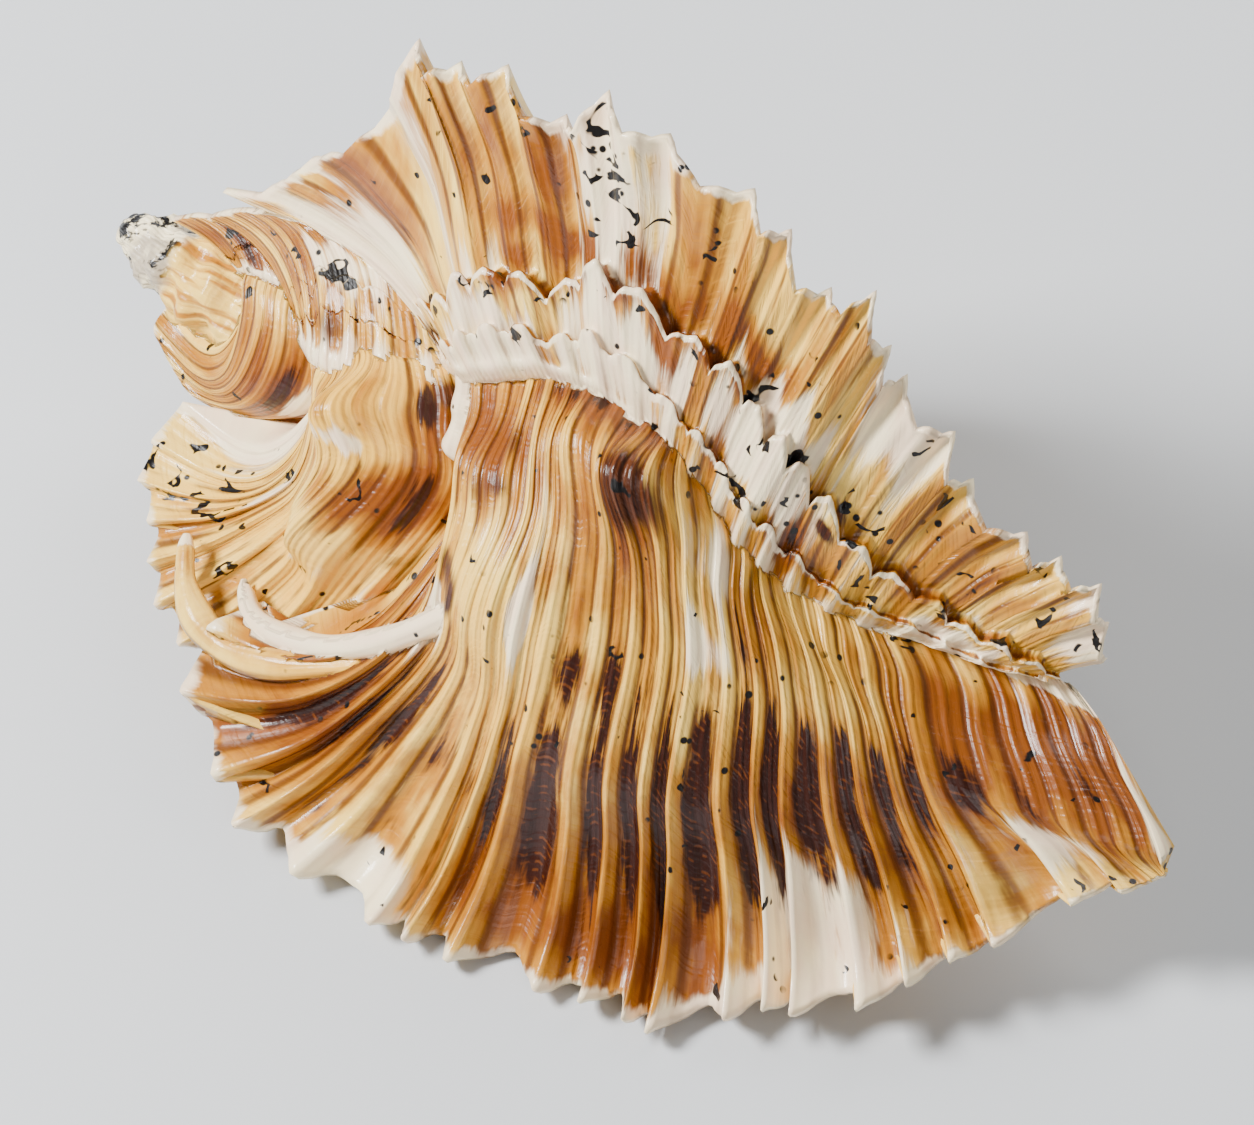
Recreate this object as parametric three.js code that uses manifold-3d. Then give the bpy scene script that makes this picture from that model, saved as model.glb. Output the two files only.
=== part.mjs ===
// A leafy murex shell in millimetres, lying on the edges of two of its three rows of frilled wings.
// Shell frame: X runs along the axis from the apex (0) to the end of the canal, and an angle turns
// about X from +Y towards +Z. The shell grows that way round, with three wings to a turn.
import * as THREE from 'three';
import { mergeVertices } from 'three/addons/utils/BufferGeometryUtils.js';
import Module from 'manifold-3d';

const LENGTH = 85;
const TURN_GROWTH = 1.68;
const PLATE = 1.0;
const CORD_ON_BODY = 0.35;
const PLEAT_AT_EDGE = 1.2;
const NOTCH_AT_EDGE = 1.3;
const TIER_HEIGHT = 1.4;
const TALL_WING = 9;
const LEAST_WING = 0.5;
const TILT_ABOUT_AXIS = -1.25;
const TILT_OF_AXIS = 1.77;
const WORN_FLAT = 0.7;
const SHELL_WHITE = 0xe9d9bc;

// Last whorl, from inside the suture to the end of the canal: distance along the axis and radius.
const WHORL = [
  [31.5, 6.6], [34.2, 10.6], [37.5, 15.0], [42, 17.8], [47, 18.4], [52, 17.2], [57, 14.6],
  [62, 11.4], [68, 7.6], [74, 4.7], [80, 3.2], [LENGTH, 2.3],
];

// The canal leaves the axis on one side. Each earlier one is shorter than its whorl's share.
const CANAL_BEND = 6.2;
const CANAL_BEND_ANGLE = 213;
const CANAL_BEND_FROM = 50;
const CANAL_BEND_TO = 74;
const CANAL_STRETCH_FROM = 42;
const CANAL_STRETCH_TO = 80;
const CANAL_GROWTH = 9;

// A wing's ribs are listed from the shoulder to the canal. Each is the place on the last whorl's
// profile that it grows from, then the distance along the axis and the radius of its tip.
const LIP_RIBS = [
  [33.4, 19.2, 18.2], [34.8, 15.2, 17.9], [36.2, 20.8, 26.8], [37.6, 25.0, 30.4],
  [39.0, 28.1, 32.7], [40.6, 33.1, 33.6], [42.2, 39.6, 34.2], [43.6, 42.1, 34.1],
  [45.2, 45.4, 34.1], [48.2, 51.6, 33.4], [50.4, 54.9, 32.9], [52.4, 58.1, 32.8],
  [54.2, 59.9, 32.8], [56.6, 64.0, 29.8], [58.6, 66.1, 28.1], [60.4, 67.8, 27.6],
  [62.8, 71.9, 25.3], [64.8, 73.8, 22.5], [67.0, 75.7, 19.7], [69.4, 77.6, 17.6],
  [74.0, 81.1, 11.9], [78.4, 83.5, 8.4], [82.0, 84.8, 3.6], [84.6, 84.9, 2.9],
];
const UPPER_RIBS = [
  [33.4, 8.0, 5.5], [34.4, 11.3, 10.4], [35.6, 14.2, 14.7], [37.0, 19.5, 22.4],
  [38.8, 21.2, 29.6], [41.4, 24.5, 29.4], [44.0, 28.0, 31.1], [46.6, 32.7, 29.6],
  [49.0, 35.6, 33.4], [52.0, 40.3, 31.9], [54.6, 46.6, 30.4], [56.6, 49.8, 29.0],
  [58.6, 53.0, 25.4], [60.6, 56.1, 26.6], [62.4, 57.7, 22.7], [64.6, 58.8, 20.4],
  [67.0, 62.8, 17.5], [69.2, 64.5, 14.2], [71.6, 68.9, 12.0], [74.0, 71.3, 10.9],
  [76.6, 74.4, 10.1], [79.4, 75.5, 7.3], [82.0, 75.8, 4.3],
];
const EARLIER_LIP_RIBS = [
  [33.6, 9.9, 8.9], [35.0, 9.4, 12.1], [36.6, 9.9, 15.0], [38.4, 11.8, 17.1],
  [40.4, 13.3, 19.6], [42.6, 15.1, 21.9], [45.4, 18.0, 23.6], [48.6, 21.5, 24.0],
  [52.0, 25.0, 23.0], [55.0, 28.5, 20.5], [58.0, 31.5, 17.0], [62.0, 34.0, 12.5],
];
const EARLIER_UPPER_RIBS = [
  [33.6, 7.0, 4.0], [35.6, 8.4, 5.6], [38.0, 10.5, 7.2], [41.0, 13.0, 8.6],
  [44.6, 15.6, 9.8], [48.4, 18.4, 10.6], [53.0, 21.6, 10.6], [58.0, 25.0, 9.8],
];

// Where the upper wing's front face meets the whorl: place on the profile and angle.
const UPPER_FOOT = [
  [30, 120], [38, 118], [45, 110], [52, 112], [58, 126], [64, 141], [72, 138], [LENGTH, 120],
];

// One wing to each third of a turn, counted back from the lip. rim is the angle of the wing's edge,
// foot the angle where its front face meets the whorl, and canal the length of its own canal.
const WINGS = [
  { rim: 205, foot: level(229), canal: LENGTH, ribs: LIP_RIBS },
  { rim: 85, foot: UPPER_FOOT, canal: 76, ribs: UPPER_RIBS },
  { rim: -35, foot: level(-10), canal: 67, ribs: fewer(LIP_RIBS, 3, 0.74, 0.74) },
  { rim: 207, foot: level(230), canal: 58, ribs: EARLIER_LIP_RIBS },
  { rim: 88, foot: level(122), canal: 50, ribs: EARLIER_UPPER_RIBS },
  { rim: -35, foot: level(-8), canal: 42, ribs: fewer(EARLIER_LIP_RIBS, 2, 0.72, 0.66) },
  { rim: 207, foot: level(232), canal: 35, ribs: fewer(EARLIER_LIP_RIBS, 2, 0.56, 0.35) },
  { rim: 88, foot: level(115), canal: 30, ribs: fewer(EARLIER_UPPER_RIBS, 2, 0.6, 0.55) },
];

// Degrees from a wing's rim back to where the wing lifts off its whorl, how far each stretch of
// whorl starts under the wing before it, and how long the first stretch is.
const LIFT = 47;
const START_OVERLAP = 12;
const FIRST_STRETCH = 112;

// The second rib of a lip wing is a horn, swollen and swept towards the apex. The other wings have
// only a trace of it.
const HORN_RIB = 0.8;
const HORN_WIDTH = 2.2;
const HORN_SWELL = 5;
const HORN_SWEEP = 0.7;
const HORN_TRACE = 0.3;

// Powers that shape how a stretch runs along the axis: on the whorl, and up a wing's two sides.
const BODY_SWEEP = 0.8;
const BACK_SWEEP = 1.25;
const FRONT_SWEEP = 1.1;

// Oval tube that hollows the mouth: its middle, half sizes, angles and how far it narrows.
const MOUTH = {
  along: 50, halfLength: 10, radius: 11.5, halfWidth: 5.1, lip: 231, sweep: 100, narrows: 0.22,
};

// Eroded tip of the apex: radius and distance along its own axis, which leans off the shell's.
const NUB = [
  [0, 0.1], [0.9, 0.3], [1.5, 1.2], [2.0, 2.6], [2.7, 4.4], [3.4, 6.6], [4.0, 9], [4.2, 12], [0, 14],
];
const NUB_LEAN = 8;

// Knobs between the wings: which wing's stretch, angle, distance along the axis, height and width.
const KNOBS = [
  [0, 127, 46.5, 2.3, 4.6], [0, 167, 41.5, 1.5, 5.0], [0, 146, 37.0, 0.8, 4.0],
  [3, 150, 25.5, 1.5, 3.2], [3, 184, 27.0, 2.3, 3.6],
  [1, -5, 41, 2.0, 5.0], [1, 40, 36, 1.4, 4.6], [2, 250, 33, 1.8, 4.2], [2, 290, 29, 1.2, 4.0],
];

// Steps of the grids: along a stretch of whorl, up a wing's back, down its front, round the mouth.
const BODY_STEPS = 5;
const BACK_STEPS = [0.14, 0.3, 0.5, 0.75, 1];
const FRONT_STEPS = [1, 0.72, 0.46, 0.45, 0.22, 0];
const FIRST_TIER_STEP = 3;
const MOUTH_RINGS = 8;
const MOUTH_SIDES = 14;
const NUB_SIDES = 12;

// A front face that meets the whorl at one angle all the way along.
function level(angle) {
  return [[30, angle], [LENGTH, angle]];
}

// A wing's ribs again, smaller and with one in so many left out.
function fewer(ribs, every, along, out) {
  const kept = ribs.filter((rib, i) => i % every !== every - 1);
  return kept.map(([base, tipAlong, tipOut]) => [base, tipAlong * along, tipOut * out]);
}

// Smooth curve through rows of numbers, read at a place counted in rows.
function between(rows, place) {
  const i = Math.min(Math.max(Math.floor(place), 0), rows.length - 2);
  const u = place - i;
  const before = rows[Math.max(i - 1, 0)];
  const after = rows[Math.min(i + 2, rows.length - 1)];
  return rows[i].map((a, n) => {
    const b = rows[i + 1][n];
    const slopeA = (b - before[n]) / 2;
    const slopeB = (after[n] - a) / 2;
    const bend = u * (1 - u);
    return a + (b - a) * u * u * (3 - 2 * u) + bend * ((1 - u) * slopeA - u * slopeB);
  });
}

// Second number of a table of pairs at a value of the first.
function read(table, at) {
  const last = table.length - 1;
  let i = 0;
  while (i < last - 1 && table[i + 1][0] < at) i += 1;
  const u = (at - table[i][0]) / (table[i + 1][0] - table[i][0]);
  return between(table, i + Math.min(Math.max(u, 0), 1))[1];
}

function around(along, radius, degrees) {
  const angle = THREE.MathUtils.degToRad(degrees);
  return new THREE.Vector3(along, radius * Math.cos(angle), radius * Math.sin(angle));
}

const mix = THREE.MathUtils.lerp;
const ease = THREE.MathUtils.smoothstep;
const wasm = await Module();
wasm.setup();

// A closed grid of points as a solid: its first and last columns each shrink to one point.
function solidOf(geometry) {
  geometry.deleteAttribute('uv');
  geometry.deleteAttribute('normal');
  const merged = mergeVertices(geometry, 1e-3);
  const corners = merged.index.array;
  const kept = [];
  for (let i = 0; i < corners.length; i += 3) {
    const [a, b, c] = corners.slice(i, i + 3);
    if (a !== b && b !== c && a !== c) kept.push(a, b, c);
  }
  const mesh = { numProp: 3, vertProperties: merged.attributes.position.array };
  mesh.triVerts = new Uint32Array(kept);
  const solid = new wasm.Manifold(new wasm.Mesh(mesh));
  if (solid.volume() > 0) return solid;
  mesh.triVerts.reverse();
  return new wasm.Manifold(new wasm.Mesh(mesh));
}

function gridSolid(spans, rows, pointAt) {
  const columns = spans * 2 + 4;
  const grid = new THREE.PlaneGeometry(1, 1, columns, rows);
  const position = grid.attributes.position;
  for (let row = 0; row <= rows; row += 1) {
    for (let column = 0; column <= columns; column += 1) {
      const place = Math.min(Math.max(column - 2, 0), columns - 4) / 2;
      const closed = column === 0 || column === columns;
      const stub = column === 1 || column === columns - 1;
      const point = pointAt(place, closed ? 0 : row, stub);
      position.setXYZ(row * (columns + 1) + column, point.x, point.y, point.z);
    }
  }
  return solidOf(grid);
}

const RADIANS = THREE.MathUtils.radToDeg(1);

// How far the canal's sideways bend has gone at a place on the profile.
function bendAt(base, age) {
  const far = age === 0 ? CANAL_BEND : 0;
  return around(0, far * ease(base, CANAL_BEND_FROM, CANAL_BEND_TO), CANAL_BEND_ANGLE);
}

// Angle at which a stretch starts, under the wing before it.
function startAngle(age, base) {
  const { rim } = WINGS[age];
  if (age + 1 === WINGS.length) return rim - FIRST_STRETCH;
  const angle = read(WINGS[age + 1].foot, base) - START_OVERLAP;
  return angle > rim ? angle - 360 : angle;
}

// What a stretch and its wing measure at one place along the ribs. A stub has no wing.
function ribAt(age, place, stub) {
  const { ribs, canal } = WINGS[age];
  const size = TURN_GROWTH ** (-age / 3);
  const startSize = TURN_GROWTH ** (-(age + 1) / 3);
  const [base, tipAlong, tipOut] = between(ribs, place);
  const stretched = ease(base, CANAL_STRETCH_FROM, CANAL_STRETCH_TO);
  const crest = 0.5 + 0.5 * Math.cos(2 * Math.PI * place);
  const horn = Math.exp(-(((place - HORN_RIB) / HORN_WIDTH) ** 2)) * (age % 3 === 0 ? 1 : HORN_TRACE);
  const along = base * size + (canal - LENGTH * size) * stretched;
  const radius = read(WHORL, base) * size;
  const height = stub ? 0 : Math.min(Math.max(tipOut - radius, 0) / TALL_WING, 1);
  const notch = NOTCH_AT_EDGE * size * (1 - crest) * height;
  return {
    base, size, crest, along, radius, height, stub,
    sweep: HORN_SWEEP * horn,
    swell: stub ? 0 : HORN_SWELL * size * horn,
    startAlong: base * startSize + (canal - CANAL_GROWTH * size - LENGTH * startSize) * stretched,
    startRadius: read(WHORL, base) * startSize,
    cord: CORD_ON_BODY * size * (crest - 0.5) * 2,
    end: stub ? along : tipAlong,
    edge: stub ? radius + LEAST_WING : Math.max(tipOut - notch, radius + LEAST_WING),
    bend: bendAt(base, age),
  };
}

// Sideways fold of a wing's plate, deepest at its edge.
function pleat(rib, part) {
  const deepest = PLEAT_AT_EDGE * rib.size * (rib.crest - 0.5) * 2 * rib.height;
  return mix(rib.cord, deepest, part) * part;
}

function whorlPoint(age, rib, part) {
  const along = mix(rib.startAlong, rib.along, part ** BODY_SWEEP);
  const radius = mix(rib.startRadius, rib.radius, part);
  const angle = mix(startAngle(age, rib.base), WINGS[age].rim - LIFT, part);
  const knobs = KNOBS.filter(([stretch]) => stretch === age);
  const knob = knobs.reduce((sum, [, knobAngle, knobAlong, height, width]) => {
    const across = (angle - knobAngle) / RADIANS * radius;
    return sum + height * Math.exp(-(across ** 2 + (along - knobAlong) ** 2) / width ** 2);
  }, 0);
  return around(along, radius + rib.cord + knob, angle).addScaledVector(rib.bend, part);
}

// Up the back of a wing the radius follows a curve that leaves the whorl flat and then rises.
function backPoint(age, rib, part) {
  const { rim } = WINGS[age];
  const rest = 1 - part;
  const near = mix(rib.radius, rib.edge, 0.1);
  const far = mix(rib.radius, rib.edge, 0.5);
  const curve = rest ** 3 * rib.radius + 3 * rest * rest * part * near
    + 3 * rest * part * part * far + part ** 3 * rib.edge;
  const radius = curve + rib.swell * Math.sin(Math.PI * part);
  const along = mix(rib.along, rib.end, part ** (BACK_SWEEP + rib.sweep));
  const turn = pleat(rib, part) / radius * RADIANS;
  const angle = mix(rim - LIFT, rim, 1 - rest ** 2);
  const point = around(along, radius + rib.cord * rest, angle - turn);
  return point.addScaledVector(rib.bend, 1 - part * rib.height);
}

function frontPoint(age, rib, part, proud) {
  const { rim, foot } = WINGS[age];
  const root = (1 - part) ** 2;
  const radius = mix(rib.radius, rib.edge, part) + rib.swell * Math.sin(Math.PI * part);
  const along = mix(rib.along, rib.end, part ** (FRONT_SWEEP + rib.sweep));
  const plate = PLATE * (0.6 + 0.4 * rib.size);
  const offset = plate * (1 - root) - pleat(rib, part) + proud * rib.size * part * 2;
  const angle = mix(rim, read(foot, rib.base), root) + offset / radius * RADIANS;
  return around(along, radius, angle).addScaledVector(rib.bend, 1 - part * rib.height);
}

// The stretch of whorl that ends in a wing, with the wing, as one closed solid.
function wingSolid(age) {
  const backStart = BODY_STEPS + 2;
  const frontStart = backStart + BACK_STEPS.length;
  const rows = frontStart + FRONT_STEPS.length;
  return gridSolid(WINGS[age].ribs.length - 1, rows, (place, row, stub) => {
    const rib = ribAt(age, place, stub);
    if (row === 0 || row === rows) return around(rib.along, 0, 0).add(rib.bend);
    if (row < backStart) return whorlPoint(age, rib, (row - 1) / BODY_STEPS);
    if (row < frontStart) return backPoint(age, rib, BACK_STEPS[row - backStart]);
    const step = row - frontStart;
    return frontPoint(age, rib, FRONT_STEPS[step], step < FIRST_TIER_STEP ? 0 : TIER_HEIGHT);
  });
}

// Closed sweep that hollows the mouth: rings from the lip back into the whorl.
function mouthSolid() {
  const grid = new THREE.PlaneGeometry(1, 1, MOUTH_SIDES, MOUTH_RINGS + 2);
  const position = grid.attributes.position;
  for (let ring = 0; ring <= MOUTH_RINGS + 2; ring += 1) {
    const step = Math.min(Math.max(ring - 1, 0), MOUTH_RINGS) / MOUTH_RINGS;
    const closed = ring === 0 || ring === MOUTH_RINGS + 2;
    const size = 1 - MOUTH.narrows * step;
    const width = closed ? 0 : Math.sqrt(1 - step ** 3 * 0.95);
    for (let side = 0; side <= MOUTH_SIDES; side += 1) {
      const turn = (side / MOUTH_SIDES) * 2 * Math.PI;
      const along = (MOUTH.along + MOUTH.halfLength * width * Math.cos(turn)) * size;
      const radius = (MOUTH.radius + MOUTH.halfWidth * width * Math.sin(turn)) * size;
      const point = around(along, radius, MOUTH.lip - MOUTH.sweep * step);
      position.setXYZ(ring * (MOUTH_SIDES + 1) + side, point.x, point.y, point.z);
    }
  }
  return solidOf(grid);
}

function nubSolid() {
  const profile = NUB.map(([out, along]) => new THREE.Vector2(out, along));
  const nub = new THREE.LatheGeometry(profile, NUB_SIDES);
  nub.rotateZ(-Math.PI / 2);
  nub.rotateY(THREE.MathUtils.degToRad(NUB_LEAN));
  nub.rotateX(THREE.MathUtils.degToRad(CANAL_BEND_ANGLE + 90));
  return solidOf(nub);
}

let shell = wingSolid(0);
for (let age = 1; age < WINGS.length; age += 1) shell = shell.add(wingSolid(age));

shell = shell.add(nubSolid()).subtract(mouthSolid());

function geometryOf(solid) {
  const { vertProperties, triVerts } = solid.getMesh();
  const geometry = new THREE.BufferGeometry();
  geometry.setAttribute('position', new THREE.BufferAttribute(vertProperties, 3));
  return geometry.setIndex(new THREE.BufferAttribute(triVerts, 1));
}

// The largest connected surface of a mesh: where two curved walls cross, joining them can leave
// slivers of no thickness beside it.
function largestSurface(geometry) {
  const corners = geometry.index.array;
  const group = Array.from({ length: geometry.attributes.position.count }, (_, i) => i);
  const root = (i) => {
    while (group[i] !== i) {
      group[i] = group[group[i]];
      i = group[i];
    }
    return i;
  };
  for (let i = 0; i < corners.length; i += 3) {
    group[root(corners[i])] = root(corners[i + 1]);
    group[root(corners[i + 1])] = root(corners[i + 2]);
  }
  const counts = new Map();
  for (const corner of corners) counts.set(root(corner), (counts.get(root(corner)) ?? 0) + 1);
  const largest = [...counts].sort((a, b) => b[1] - a[1])[0][0];
  return geometry.setIndex(Array.from(corners).filter((corner) => root(corner) === largest));
}

// The shell lies on its lip wing and its far wing, whose tips are worn flat where they touch.
const tilted = largestSurface(geometryOf(shell));
tilted.rotateX(THREE.MathUtils.degToRad(TILT_ABOUT_AXIS));
tilted.rotateY(THREE.MathUtils.degToRad(TILT_OF_AXIS));
tilted.computeBoundingBox();
const ground = new THREE.BoxGeometry(3 * LENGTH, 3 * LENGTH, LENGTH);
ground.translate(0, 0, tilted.boundingBox.min.z + WORN_FLAT - LENGTH / 2);
const worn = largestSurface(geometryOf(solidOf(tilted).subtract(solidOf(ground))));
worn.computeBoundingBox();
const { min, max } = worn.boundingBox;
worn.translate(-(min.x + max.x) / 2, -(min.y + max.y) / 2, -min.z);

const shellMesh = new THREE.Mesh(
  worn,
  new THREE.MeshStandardMaterial({ color: SHELL_WHITE, roughness: 0.35, metalness: 0 }),
);
shellMesh.name = 'shell';

const group = new THREE.Group();
group.add(shellMesh);
export default group;
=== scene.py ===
"""A leafy murex shell: the whole shell is one grown surface, laid on a pale floor.

Every point is first placed in the shell's own frame, in millimetres: X runs along the axis from
the apex to the end of the canal, and an angle, in degrees, turns about X from +Y towards +Z.
"""
import math

import bmesh
import bpy
import numpy as np
from bpy.props import FloatProperty, FloatVectorProperty, PointerProperty
from bpy.types import Operator, Panel, PropertyGroup
from mathutils import Matrix, Vector
from mathutils.kdtree import KDTree


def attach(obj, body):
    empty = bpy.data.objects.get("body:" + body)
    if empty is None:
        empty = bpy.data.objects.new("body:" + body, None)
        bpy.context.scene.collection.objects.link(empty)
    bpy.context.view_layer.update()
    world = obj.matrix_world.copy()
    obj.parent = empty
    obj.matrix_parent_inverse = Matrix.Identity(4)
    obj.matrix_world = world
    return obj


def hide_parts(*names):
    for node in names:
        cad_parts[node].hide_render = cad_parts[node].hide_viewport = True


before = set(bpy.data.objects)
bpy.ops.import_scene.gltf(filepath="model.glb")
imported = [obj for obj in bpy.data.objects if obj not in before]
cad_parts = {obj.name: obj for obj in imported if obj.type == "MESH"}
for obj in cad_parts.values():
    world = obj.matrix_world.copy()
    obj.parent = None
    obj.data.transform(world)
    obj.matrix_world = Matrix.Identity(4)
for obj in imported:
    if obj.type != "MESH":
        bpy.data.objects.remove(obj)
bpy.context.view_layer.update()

bl_info = {
    "name": "Murex shell",
    "version": (1, 0, 0),
    "blender": (4, 5, 0),
    "location": "View3D > Sidebar > Murex",
    "description": "Grows a leafy murex shell and sets it on a pale floor",
    "category": "Object",
}

MM = 0.001

# The spiral: each turn is so much larger than the one before it, and carries three wings. A wing
# lifts off the whorl some degrees before its edge, and the next stretch of whorl starts a little
# under it. The stretch at the apex has no wing before it, and reaches back a fixed way.
LENGTH = 85.0
TURN_GROWTH = 1.68
WINGS_A_TURN = 3
LIFT = 47.0
START_UNDER = 12
FIRST_STRETCH = 112.0

# How the shell lies: its axis turned and tipped, and the apex moved to its place on the floor.
TILT_ABOUT_AXIS = math.radians(-1.25)
TILT_OF_AXIS = math.radians(1.77)
RESTING_PLACE = (-42.42756, 5.53688, 15.85472)

# Last whorl, from inside the suture to the end of the canal: distance along the axis and radius.
WHORL = [
    (31.5, 6.6), (34.2, 10.6), (37.5, 15.0), (42, 17.8), (47, 18.4), (52, 17.2), (57, 14.6),
    (62, 11.4), (68, 7.4), (74, 4.3), (80, 2.7), (LENGTH, 1.3),
]

# The canal, whose end moves on by its growth in each stretch. Each pair says between which places
# along the last whorl something sets in: the canal, its bend, and how thin it starts.
CANAL_PART = (42, 80)
CANAL_GROWTH = 11
CANAL_BEND = 6.2
CANAL_BEND_ANGLE = 213.0
CANAL_BEND_PART = (50, 74)
START_CANAL_PART = (64, 76)
START_CANAL_THINNING = 0.3

# The whorl's own shape. Each pair is a place along the last whorl and a width about it, and a
# pinch has its depth first. Lesser cords are given as a share of the main ones.
LESSER_CORD = 0.8
UNEVENNESS = 0.16
WAVER = 0.3
SHOULDER = (37.2, 2.0)
SHOULDER_LEAN = 1.7
EARLY_PINCH = (2.4, 56.0, 3.2)
LATE_PINCH = (1.1, 34.4, 1.2)
EARLY_KNOB_LEAN = 0.7
LAST_KNOB_LEAN = 0.4

# A wing's own shape, in millimetres at the size of the last whorl. It has its full pleats where
# it stands out by the first number, and both its ends are rounded margins. Its first ribs curl,
# and folds, fine ribs and growth steps cross its sheet.
FULL_WING = 9
LEAST_WING = 0.5
MARGIN_COLUMNS = 6
MARGIN_WIDTH = 1.1
MARGIN_THINNESS = 0.3
CURL_RIBS = (0.8, 2.2)
CURL_SWELL = 5
SLIGHT_CURL = 0.3
FOLD_HEIGHT = 0.5
FINE_RIB_HEIGHT = 0.224
FINE_RIBS = 3
GROWTH_STEP_HEIGHT = 0.22
GROWTH_STEPS = 14
EDGE_LESSER_CORD = 0.45
FRONT_LESSER_CORD = 0.5

# The plate at a wing's foot and at its edge, as shares of its thickness. Then the callus along
# the foot of the front, and the stronger cords above it: height, place up the wing and width.
PLATE_TAPER = (1.15, 0.6)
CALLUS_HEIGHT = 0.9
LOW_CALLUS_HEIGHT = 0.3
CALLUS_PLACE = (0.05, 0.05)
FOOT_CORDS = 1.6
FOOT_CORDS_PLACE = (0.16, 0.12)

# How the grid is laid: the fewest columns to a rib, and how often the rows are smoothed where a
# wing lifts off, over what share of the rows before and after.
LEAST_COLUMNS = 4
SOFTENING_ROUNDS = 24
SOFTENING_REACH = 0.11

# The lip's wing alone: the ribs that lean back for its horn, those that reach further out, and
# the hollow and hump where it leaves the whorl.
HORN_LEAN = 6.0
HORN_RIBS = (0.9, 1.5)
OUTER_REACH = 0.5
OUTER_RIBS = (6.5, 3.0)
LIFT_RIBS = (10, 6)
LIFT_HOLLOW = 0.5
LIFT_HUMP = 0.8

# A wing's ribs are listed from the shoulder to the canal. Each is the place on the last whorl's
# profile that it grows from, then the distance along the axis and the radius of its tip.
LIP_RIBS = [
    (33.4, 24.2, 20.4), (34.8, 20.6, 22.4), (36.2, 20.8, 26.8), (37.6, 25.0, 30.4),
    (39.0, 28.1, 32.7), (40.6, 33.1, 33.6), (42.2, 39.6, 34.2), (43.6, 42.1, 34.1),
    (45.2, 45.4, 34.1), (48.2, 51.6, 33.4), (50.4, 54.9, 32.9), (52.4, 58.1, 32.8),
    (54.2, 59.9, 32.8), (56.6, 64.0, 29.8), (58.6, 66.1, 28.1), (60.4, 67.8, 27.6),
    (62.8, 71.9, 25.3), (64.8, 73.8, 22.5), (67.0, 75.7, 19.7), (69.4, 77.6, 17.6),
    (74.0, 81.1, 11.6), (78.4, 83.3, 7.5), (82.0, 84.7, 2.6), (84.6, 84.9, 1.5),
]
UPPER_RIBS = [
    (33.4, 8.0, 5.5), (34.4, 11.3, 10.4), (35.6, 14.2, 14.7), (37.0, 19.5, 22.4),
    (38.8, 21.2, 29.6), (41.4, 24.5, 29.4), (44.0, 28.0, 31.1), (46.6, 32.7, 29.6),
    (49.0, 35.6, 33.4), (52.0, 40.3, 31.9), (54.6, 46.6, 30.4), (56.6, 49.8, 29.0),
    (58.6, 53.0, 25.4), (60.6, 56.1, 26.6), (62.4, 57.7, 22.7), (64.6, 58.8, 20.4),
    (67.0, 62.8, 17.5), (69.2, 64.5, 14.2), (71.6, 68.9, 12.0), (74.0, 71.3, 10.9),
    (76.6, 74.4, 10.1), (79.4, 75.5, 7.3), (82.0, 75.8, 4.3),
]
EARLIER_LIP_RIBS = [
    (33.6, 9.9, 8.9), (35.0, 9.4, 12.1), (36.6, 9.9, 15.0), (38.4, 11.8, 17.1),
    (40.4, 13.3, 19.6), (42.6, 15.1, 21.9), (45.4, 18.0, 23.6), (48.6, 21.5, 24.0),
    (52.0, 25.0, 23.0), (55.0, 28.5, 20.5), (58.0, 31.5, 17.0), (62.0, 34.0, 12.5),
]
EARLIER_UPPER_RIBS = [
    (33.6, 7.0, 4.0), (35.6, 8.4, 5.6), (38.0, 10.5, 7.2), (41.0, 13.0, 8.6),
    (44.6, 15.6, 9.8), (48.4, 18.4, 10.6), (53.0, 21.6, 10.6), (58.0, 25.0, 9.8),
]

# Where the foot of an upper wing's front meets the whorl: place along the last whorl and angle.
UPPER_FOOT = [
    (30, 120), (38, 118), (45, 110), (52, 112), (58, 126), (64, 141), (72, 138), (LENGTH, 120),
]
EARLIER_UPPER_FOOT = [(30, 146), (40, 143), (48, 136), (56, 125), (LENGTH, 118)]


def fewer(ribs, every, along, out):
    """A wing's ribs again, smaller and with one in so many left out."""
    kept = [rib for i, rib in enumerate(ribs) if i % every != every - 1]
    return [(base, tip_along * along, tip_out * out) for base, tip_along, tip_out in kept]


def level_foot(angle):
    """A front face that meets the whorl at one angle all the way along."""
    return [(30, angle), (LENGTH, angle)]


# One wing to each third of a turn, counted back from the lip: the lip's wing, an upper one and a
# lower one, and then the same again. A wing's number is also the age of the stretch before it.
WINGS = [
    {"rim": 205, "foot": level_foot(229), "canal": LENGTH, "ribs": LIP_RIBS},
    {"rim": 85, "foot": UPPER_FOOT, "canal": 74.5, "ribs": UPPER_RIBS},
    {"rim": -35, "foot": level_foot(-10), "canal": 67, "ribs": fewer(LIP_RIBS, 3, 0.74, 0.74)},
    {"rim": 207, "foot": level_foot(230), "canal": 58, "ribs": EARLIER_LIP_RIBS},
    {"rim": 88, "foot": EARLIER_UPPER_FOOT, "canal": 50, "ribs": EARLIER_UPPER_RIBS},
    {"rim": -35, "foot": level_foot(-8), "canal": 42, "ribs": fewer(EARLIER_LIP_RIBS, 2, 0.72, 0.66)},
    {"rim": 207, "foot": level_foot(232), "canal": 35, "ribs": fewer(EARLIER_LIP_RIBS, 2, 0.56, 0.35)},
    {"rim": 88, "foot": level_foot(115), "canal": 30, "ribs": fewer(EARLIER_UPPER_RIBS, 2, 0.6, 0.55)},
]

# The lip's wing and the upper wing next to it. Wings of the same two kinds lie whole turns before.
LIP = 0
UPPER = 1

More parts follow.
